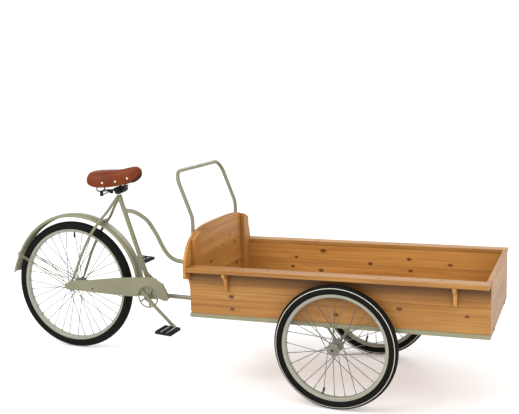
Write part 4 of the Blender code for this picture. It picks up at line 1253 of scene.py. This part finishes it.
REAR_KNOTS = ((-0.238, 0.352, 0.0034), (-0.100, 0.345, 0.0038), (0.110, 0.330, 0.0036))
REAR_KNOTS += (
    (-0.105, 0.252, 0.0055), (0.030, 0.300, 0.0040), (0.170, 0.290, 0.0055), (0.190, 0.190, 0.0070)
)
RIGHT_KNOTS = (
    (-0.4401, 0.1614, 0.0068), (-0.4371, 0.1119, 0.0058), (-0.0051, 0.1189, 0.0062),
    (0.2409, 0.1599, 0.0062), (0.4929, 0.1479, 0.0046)
)
LEFT_KNOTS = (
    (-0.238, 0.238, 0.0075), (-0.367, 0.204, 0.0050), (-0.385, 0.159, 0.0055), (-0.249, 0.146, 0.0065),
    (-0.018, 0.189, 0.0060), (0.157, 0.218, 0.0060), (0.164, 0.166, 0.0055), (0.338, 0.201, 0.0055),
)
SHELF_KNOTS = {
    "right": ((-0.28, -0.330, 0.0050), (0.17, -0.350, 0.0050), (0.40, -0.325, 0.0045)),
    "left": ((-0.42, 0.335, 0.0050), (-0.27, 0.325, 0.0060), (0.10, 0.350, 0.0050))
}


def build_base():
    rear_x = BOARD_REAR_X + 0.0057
    board_x = BOX_FRONT_X - WALL_THICK - GAP
    cross = CROSSBAR_HALF
    for side_name, side in SIDES:
        bm = bmesh.new()
        y0, y1 = sorted((side * 0.300, side * BOX_HALF))
        add_block(bm, (rear_x, y0, RAIL_LOW_Z), (BOX_FRONT_X, y1, RAIL_HIGH_Z))
        piece(
            "base_rail_detail_" + side_name, bm, RAIL_PAINT, "front_box", BOX, ("base_rail_" + side_name,),
            0.0018, 3
        )
    for name, x in (("rear", rear_x), ("axle", -0.0125), ("front", board_x - 0.025)):
        bm = bmesh.new()
        add_block(bm, (x, -cross, RAIL_LOW_Z), (x + 0.025, cross, RAIL_HIGH_Z))
        piece(
            "base_crossbar_detail_" + name, bm, RAIL_PAINT, "front_box", BOX, ("base_crossbar_" + name,),
            0.0015, 2
        )
    bm = bmesh.new()
    planks = 6
    inner = BOX_HALF - WALL_THICK - 0.0006
    width = 2 * inner / planks
    seams = []
    for k in range(planks):
        y = -inner + k * width
        seams.append(y)
        add_block(
            bm, (BOARD_REAR_X + BOARD_THICK + GAP, y + GAP, RAIL_HIGH_Z + GAP),
            (board_x, y + width - GAP, FLOOR_TOP_Z)
        )
    look = wood_look(
        "fir_floor", "x", "y", 4.0, tuple(seams[1:]),
        ((-0.35, -0.14, 0.006), (0.20, 0.09, 0.007), (0.05, 0.24, 0.005))
    )
    piece("floor_planks", bm, look, "front_box", BOX, ("floor_panel",), 0.0012, 2)


def build_walls():
    rear_x = BOARD_REAR_X + BOARD_THICK + GAP
    for side_name, side in SIDES:
        knots = RIGHT_KNOTS if side < 0 else LEFT_KNOTS
        # Both walls are the same fir: the near (right) wall is darkened to 0.90 as painted shade beneath its shelf
        # and carries a painted shadow deepening up to the shelf, while the far (left) wall is lightened to 1.26.
        look = wood_look("fir_wall_" + side_name, "x", "z", 1.3 if side < 0 else 6.1, (WALL_SEAM_Z,), knots,
                         shade=0.90 if side < 0 else 1.26, shadow=(0.186, 0.255) if side < 0 else None)
        bm = bmesh.new()
        y0, y1 = sorted((side * (BOX_HALF - WALL_THICK), side * BOX_HALF))
        add_block(bm, (rear_x, y0, RAIL_HIGH_Z + GAP), (BOX_FRONT_X, y1, WALL_SEAM_Z - 0.0002))
        add_block(bm, (rear_x, y0, WALL_SEAM_Z + 0.0002), (BOX_FRONT_X, y1, SHELF_LOW_Z - GAP))
        piece("wall_planks_" + side_name, bm, look, "front_box", BOX, ("side_wall_" + side_name,), 0.0014, 2)
        bm = bmesh.new()
        y0, y1 = sorted((side * (BOX_HALF - WALL_THICK), side * SHELF_HALF))
        add_block(bm, (rear_x, y0, SHELF_LOW_Z), (BOX_FRONT_X - 0.0015, y1, SHELF_TOP_Z))
        look = wood_look(
            "fir_shelf_" + side_name, "x", "y", 2.6 if side < 0 else 8.2, (), SHELF_KNOTS[side_name],
            rings=44.0, shade=0.94
        )
        piece("shelf_board_" + side_name, bm, look, "front_box", BOX, ("shelf_" + side_name,), 0.0022, 3)
        build_batten(side_name, side)
        for name, x in (("rear", -0.4581), ("front", 0.4509)):
            build_shelf_bracket(side_name, side, name, x)


def build_batten(side_name, side):
    rear_x = BOARD_REAR_X + BOARD_THICK + GAP
    inner = BOX_HALF - WALL_THICK - GAP
    foot = RAIL_HIGH_Z + GAP
    outline = [(side * inner, foot)]
    for k in range(7):
        y = inner - BATTEN_WIDTH * k / 6
        outline.append((side * y, arch_z(y) - 0.002))
    outline.append((side * (inner - BATTEN_WIDTH), foot))
    bm = bmesh.new()
    add_plate(bm, outline, rear_x, rear_x + WALL_THICK, axis="X")
    look = wood_look("fir_batten_" + side_name, "z", "y", 3.3 + side, (), (), rings=55.0, shade=1.10)
    piece("batten_detail_" + side_name, bm, look, "front_box", BOX, ("rear_batten_" + side_name,), 0.0015, 2)


def build_shelf_bracket(side_name, side, name, x):
    """A small ogee bracket cut from a board, with softened edges."""
    wall = BOX_HALF + GAP
    top = SHELF_LOW_Z - GAP
    knots = [
        (0.0440, 0.0), (0.0445, -0.0060), (0.0410, -0.0140), (0.0320, -0.0210), (0.0225, -0.0290),
        (0.0165, -0.0400)
    ]
    knots += [(0.0150, -0.0520), (0.0135, -0.0630), (0.0090, -0.0730), (0.0005, -0.0800)]
    curve = smooth_path([(out, 0.0, down) for out, down in knots], 3)
    outline = [(side * (wall + p.x), top + p.z) for p in curve] + [(side * wall, top)]
    bm = bmesh.new()
    add_plate(bm, outline, x - 0.007, x + 0.007, axis="X")
    look = wood_look(f"fir_bracket_{side_name}_{name}", "z", "y", 5.0 + x, (), (), rings=60.0, shade=1.10)
    piece(
        f"bracket_detail_{side_name}_{name}", bm, look, "front_box", BOX,
        (f"shelf_bracket_{side_name}_{name}",), 0.0014, 2
    )


def build_rear_board():
    low = RAIL_HIGH_Z + GAP
    faces_x = (BOARD_REAR_X, BOARD_REAR_X + BOARD_THICK)
    right = [(-0.3040, low)]
    curve = [
        (0.3065, 0.1750), (0.3090, 0.1890), (0.3130, 0.2010), (0.3190, 0.2120), (0.3270, 0.2210),
        (0.3380, 0.2290)
    ]
    for p in smooth_path([(y, 0.0, z) for y, z in curve], 4):
        right.append((-p.x, p.z))
    right.append((-0.3420, EAR_LOW_Z))
    right += [
        (-SHELF_HALF + 0.0015, EAR_LOW_Z), (-SHELF_HALF, EAR_LOW_Z + 0.0015), (-SHELF_HALF, ARCH_FOOT_Z)
    ]
    for k in range(1, 7):
        z = ARCH_FOOT_Z + (ARCH_SEAM_Z - 0.0002 - ARCH_FOOT_Z) * k / 6
        right.append((-arch_y(z), z))
    bm = bmesh.new()
    add_plate(bm, right + [(-y, z) for y, z in right[::-1]], *faces_x, axis="X")
    look = wood_look("fir_rear_board", "y", "z", 2.0, (ARCH_SEAM_Z,), REAR_KNOTS, rings=22.0, shade=1.16)
    piece("rear_planks_lower", bm, look, "front_box", BOX, ("rear_board_lower",), 0.0012, 2)
    foot = ARCH_SEAM_Z + 0.0002
    edge = arch_y(foot)
    outline = [(-edge, foot)]
    for k in range(1, 60):
        y = -edge * cos(pi * k / 60)
        outline.append((y, arch_z(y)))
    outline.append((edge, foot))
    bm = bmesh.new()
    add_plate(bm, outline, *faces_x, axis="X")
    piece("rear_planks_upper", bm, look, "front_box", BOX, ("rear_board_upper",), 0.0012, 2)


def build_front_board():
    wide = BOX_HALF - WALL_THICK - GAP
    narrow = CROSSBAR_HALF
    deck = RAIL_HIGH_Z + GAP
    back, face = BOX_FRONT_X - WALL_THICK, BOX_FRONT_X
    look = wood_look(
        "fir_front_board", "y", "z", 7.4, (WALL_SEAM_Z,), ((0.12, 0.21, 0.006), (-0.14, 0.13, 0.006)),
        rings=22.0, shade=0.82
    )
    bm = bmesh.new()
    add_block(bm, (back, -narrow, RAIL_LOW_Z), (face, narrow, deck))
    add_block(bm, (back, -wide, deck), (face, wide, WALL_SEAM_Z - 0.0002))
    add_block(bm, (back, -wide, WALL_SEAM_Z + 0.0002), (face, wide, SHELF_TOP_Z))
    piece("front_planks", bm, look, "front_box", BOX, ("front_board",), 0.0012, 2)
    bm = bmesh.new()
    for y in (-0.207, 0.207):
        add_dome(bm, at(face, y, 0.0745, 90), 0.0075, 0.0042, 20)
    piece("front_bolts", bm, HUB_METAL, "front_box", BOX)


def build_handle():
    leg_x = BOARD_REAR_X - 0.0086
    half = 0.240
    foot = (leg_x, -half, 0.113)
    kink = (leg_x, -half, 0.464)
    corner = (-0.7136, -half, 0.6530)
    corners = [foot, kink, corner] + mirrored([corner, kink, foot], -1)
    bm = bmesh.new()
    add_sweep(bm, rounded_path(corners, [0.12, 0.056, 0.056, 0.12], 14), 0.0080, 28)
    piece("push_handle_detail", bm, SAGE, "front_box", BOX, ("push_handle",))
    bm = bmesh.new()
    for side in (-1, 1):
        for z in (0.150, 0.300):
            add_handle_clip(bm, leg_x, side * half, z)
    piece("handle_clips", bm, SAGE, "front_box", BOX, bevel=0.0006)
    bm = bmesh.new()
    for side in (-1, 1):
        for z in (0.150, 0.300):
            for step in (-0.0165, 0.0165):
                add_dome(bm, at(BOARD_REAR_X - 0.0018, side * half + step, z, -90), 0.0038, 0.0022, 14)
    piece("handle_screws", bm, HUB_METAL, "front_box", BOX)


def add_handle_clip(bm, x, y, z):
    """A saddle strap round the leg, flat on the board at both sides."""
    rings = []
    outline = [(BOARD_REAR_X - 0.0002, -0.0230), (BOARD_REAR_X - 0.0002, -0.0105)]
    for i in range(13):
        turn = radians(-60 - 240 * i / 12)
        outline.append((x + 0.0084 * cos(turn), 0.0084 * sin(turn)))
    outline += [(BOARD_REAR_X - 0.0002, 0.0105), (BOARD_REAR_X - 0.0002, 0.0230)]
    for height in (-0.009, 0.009):
        ring = []
        for px, py in outline:
            ring.append(bm.verts.new((px, y + py, z + height)))
        rings.append(ring)
    for i in range(len(outline) - 1):
        bm.faces.new((rings[0][i], rings[0][i + 1], rings[1][i + 1], rings[1][i]))
    faces = [f for f in bm.faces if all(v in rings[0] or v in rings[1] for v in f.verts)]
    bmesh.ops.solidify(bm, geom=faces, thickness=-0.0014)


def build_axle_brackets():
    for side_name, side in SIDES:
        y = side * 0.3120
        bm = bmesh.new()
        eye = [
            (0.0058, side * 0.3070), (0.0132, side * 0.3070), (0.0140, side * 0.3080),
            (0.0140, side * 0.3170), (0.0132, side * 0.3180), (0.0058, side * 0.3180)
        ]
        add_turned(bm, eye, 32)
        for end in (-1, 1):
            add_sweep(bm, [(end * 0.006, y, 0.010), (end * 0.0445, y, RAIL_LOW_Z - 0.0005)], 0.0050, 18)
            low, high = sorted((side * 0.3010, side * 0.3235))
            add_block(
                bm, (end * 0.0430 - 0.0120, low, RAIL_LOW_Z - 0.0032),
                (end * 0.0430 + 0.0120, high, RAIL_LOW_Z - GAP)
            )
        piece("axle_bracket_detail_" + side_name, bm, SAGE, "front_box", BOX, ("axle_bracket_" + side_name,))
        bm = bmesh.new()
        stub = [
            (0.0, 0.3010), (0.0055, 0.3010), (0.0055, 0.4015), (0.0098, 0.4015), (0.0098, 0.4040),
            (0.0086, 0.4052)
        ]
        stub += [(0.0062, 0.4052), (0.0058, 0.4036), (0.0, 0.4034)]
        add_turned(bm, [(r, side * v) for r, v in stub], 32)
        add_hexagon(bm, Matrix.Identity(4), 0.0090, *sorted((side * 0.2990, side * 0.3065)))
        piece(
            "front_axle_detail_" + side_name, bm, HUB_METAL, "front_box", BOX, ("front_axle_" + side_name,)
        )
        bm = bmesh.new()
        end = [(0.0, 0.4030), (0.0052, 0.4030), (0.0048, 0.4040), (0.0, 0.4040)]
        add_turned(bm, [(r, side * v) for r, v in end], 20)
        piece("front_axle_end_" + side_name, bm, BLACK_METAL, "front_box", BOX)


# ---- studio ----
def paint_remaining_nodes():
    """CAD nodes that still show get the material of their kind."""
    looks = {"rear_sprocket": HUB_METAL, "crank_spindle": HUB_METAL}
    for name, node in frame["nodes"].items():
        if node.hide_render:
            continue
        node.data.materials.clear()
        node.data.materials.append(looks.get(name, SAGE))


def add_area(name, place, target, size, power, colour=(1.0, 1.0, 1.0)):
    data = bpy.data.lights.new(name, "AREA")
    data.shape = "RECTANGLE"
    data.size = size[0]
    data.size_y = size[1]
    data.energy = power
    data.color = colour
    light = bpy.data.objects.new(name, data)
    bpy.context.collection.objects.link(light)
    light.location = place
    light.rotation_euler = (Vector(target) - Vector(place)).to_track_quat("-Z", "Y").to_euler()


def build_studio():
    look = Look("studio_floor", roughness=0.9, specular=0.1)
    look.colour(look.mix(look.noise(look.where, 0.6), (0.80, 0.80, 0.80), (0.82, 0.82, 0.82)))
    look.shader.inputs["Emission Color"].default_value = (1.0, 1.0, 1.0, 1.0)
    look.shader.inputs["Emission Strength"].default_value = 0.26
    mesh = bpy.data.meshes.new("studio_floor")
    reach = 60.0
    mesh.from_pydata(
        [(-reach, -reach, 0), (reach, -reach, 0), (reach, reach, 0), (-reach, reach, 0)], [], [(0, 1, 2, 3)]
    )
    mesh.materials.append(look.material)
    ground = bpy.data.objects.new("studio_floor", mesh)
    bpy.context.collection.objects.link(ground)
    world = bpy.data.worlds.new("studio")
    bpy.context.scene.world = world
    world.use_nodes = True
    world.node_tree.nodes["Background"].inputs["Color"].default_value = (1.0, 1.0, 1.0, 1.0)
    world.node_tree.nodes["Background"].inputs["Strength"].default_value = 1.0
    add_area("key", (-2.2, -3.6, 4.6), (0.0, 0.0, 0.3), (3.0, 3.0), 170.0)
    add_area("fill", (3.6, -3.2, 2.6), (0.3, 0.0, 0.4), (2.5, 2.5), 40.0)
    add_area("back", (0.5, 4.5, 3.8), (0.0, 0.0, 0.4), (3.0, 2.0), 60.0)
    bpy.context.scene.view_settings.view_transform = "Standard"


def build_camera():
    data = bpy.data.cameras.new("camera")
    data.sensor_width = 36.0
    data.lens = 63.24
    data.clip_start = 0.05
    data.clip_end = 200.0
    camera = bpy.data.objects.new("camera", data)
    bpy.context.collection.objects.link(camera)
    camera.location = (2.2512 + REAR_AXLE.x, -3.6391, 1.3265)
    camera.rotation_euler = (radians(90 - 8.9361), 0.0, radians(20.0777))
    bpy.context.scene.camera = camera


build_wheels()
build_main_tubes()
build_head()
build_stays()
build_axle()
build_mudguard()
build_chain_case()
build_chainwheel()
for name, sign in SIDES:
    build_crank(name, sign)
    build_pedal(name, sign)
build_saddle_cover()
build_saddle_trim()
build_saddle_frame()
build_base()
build_walls()
build_rear_board()
build_front_board()
build_handle()
build_axle_brackets()
paint_remaining_nodes()
build_studio()
build_camera()
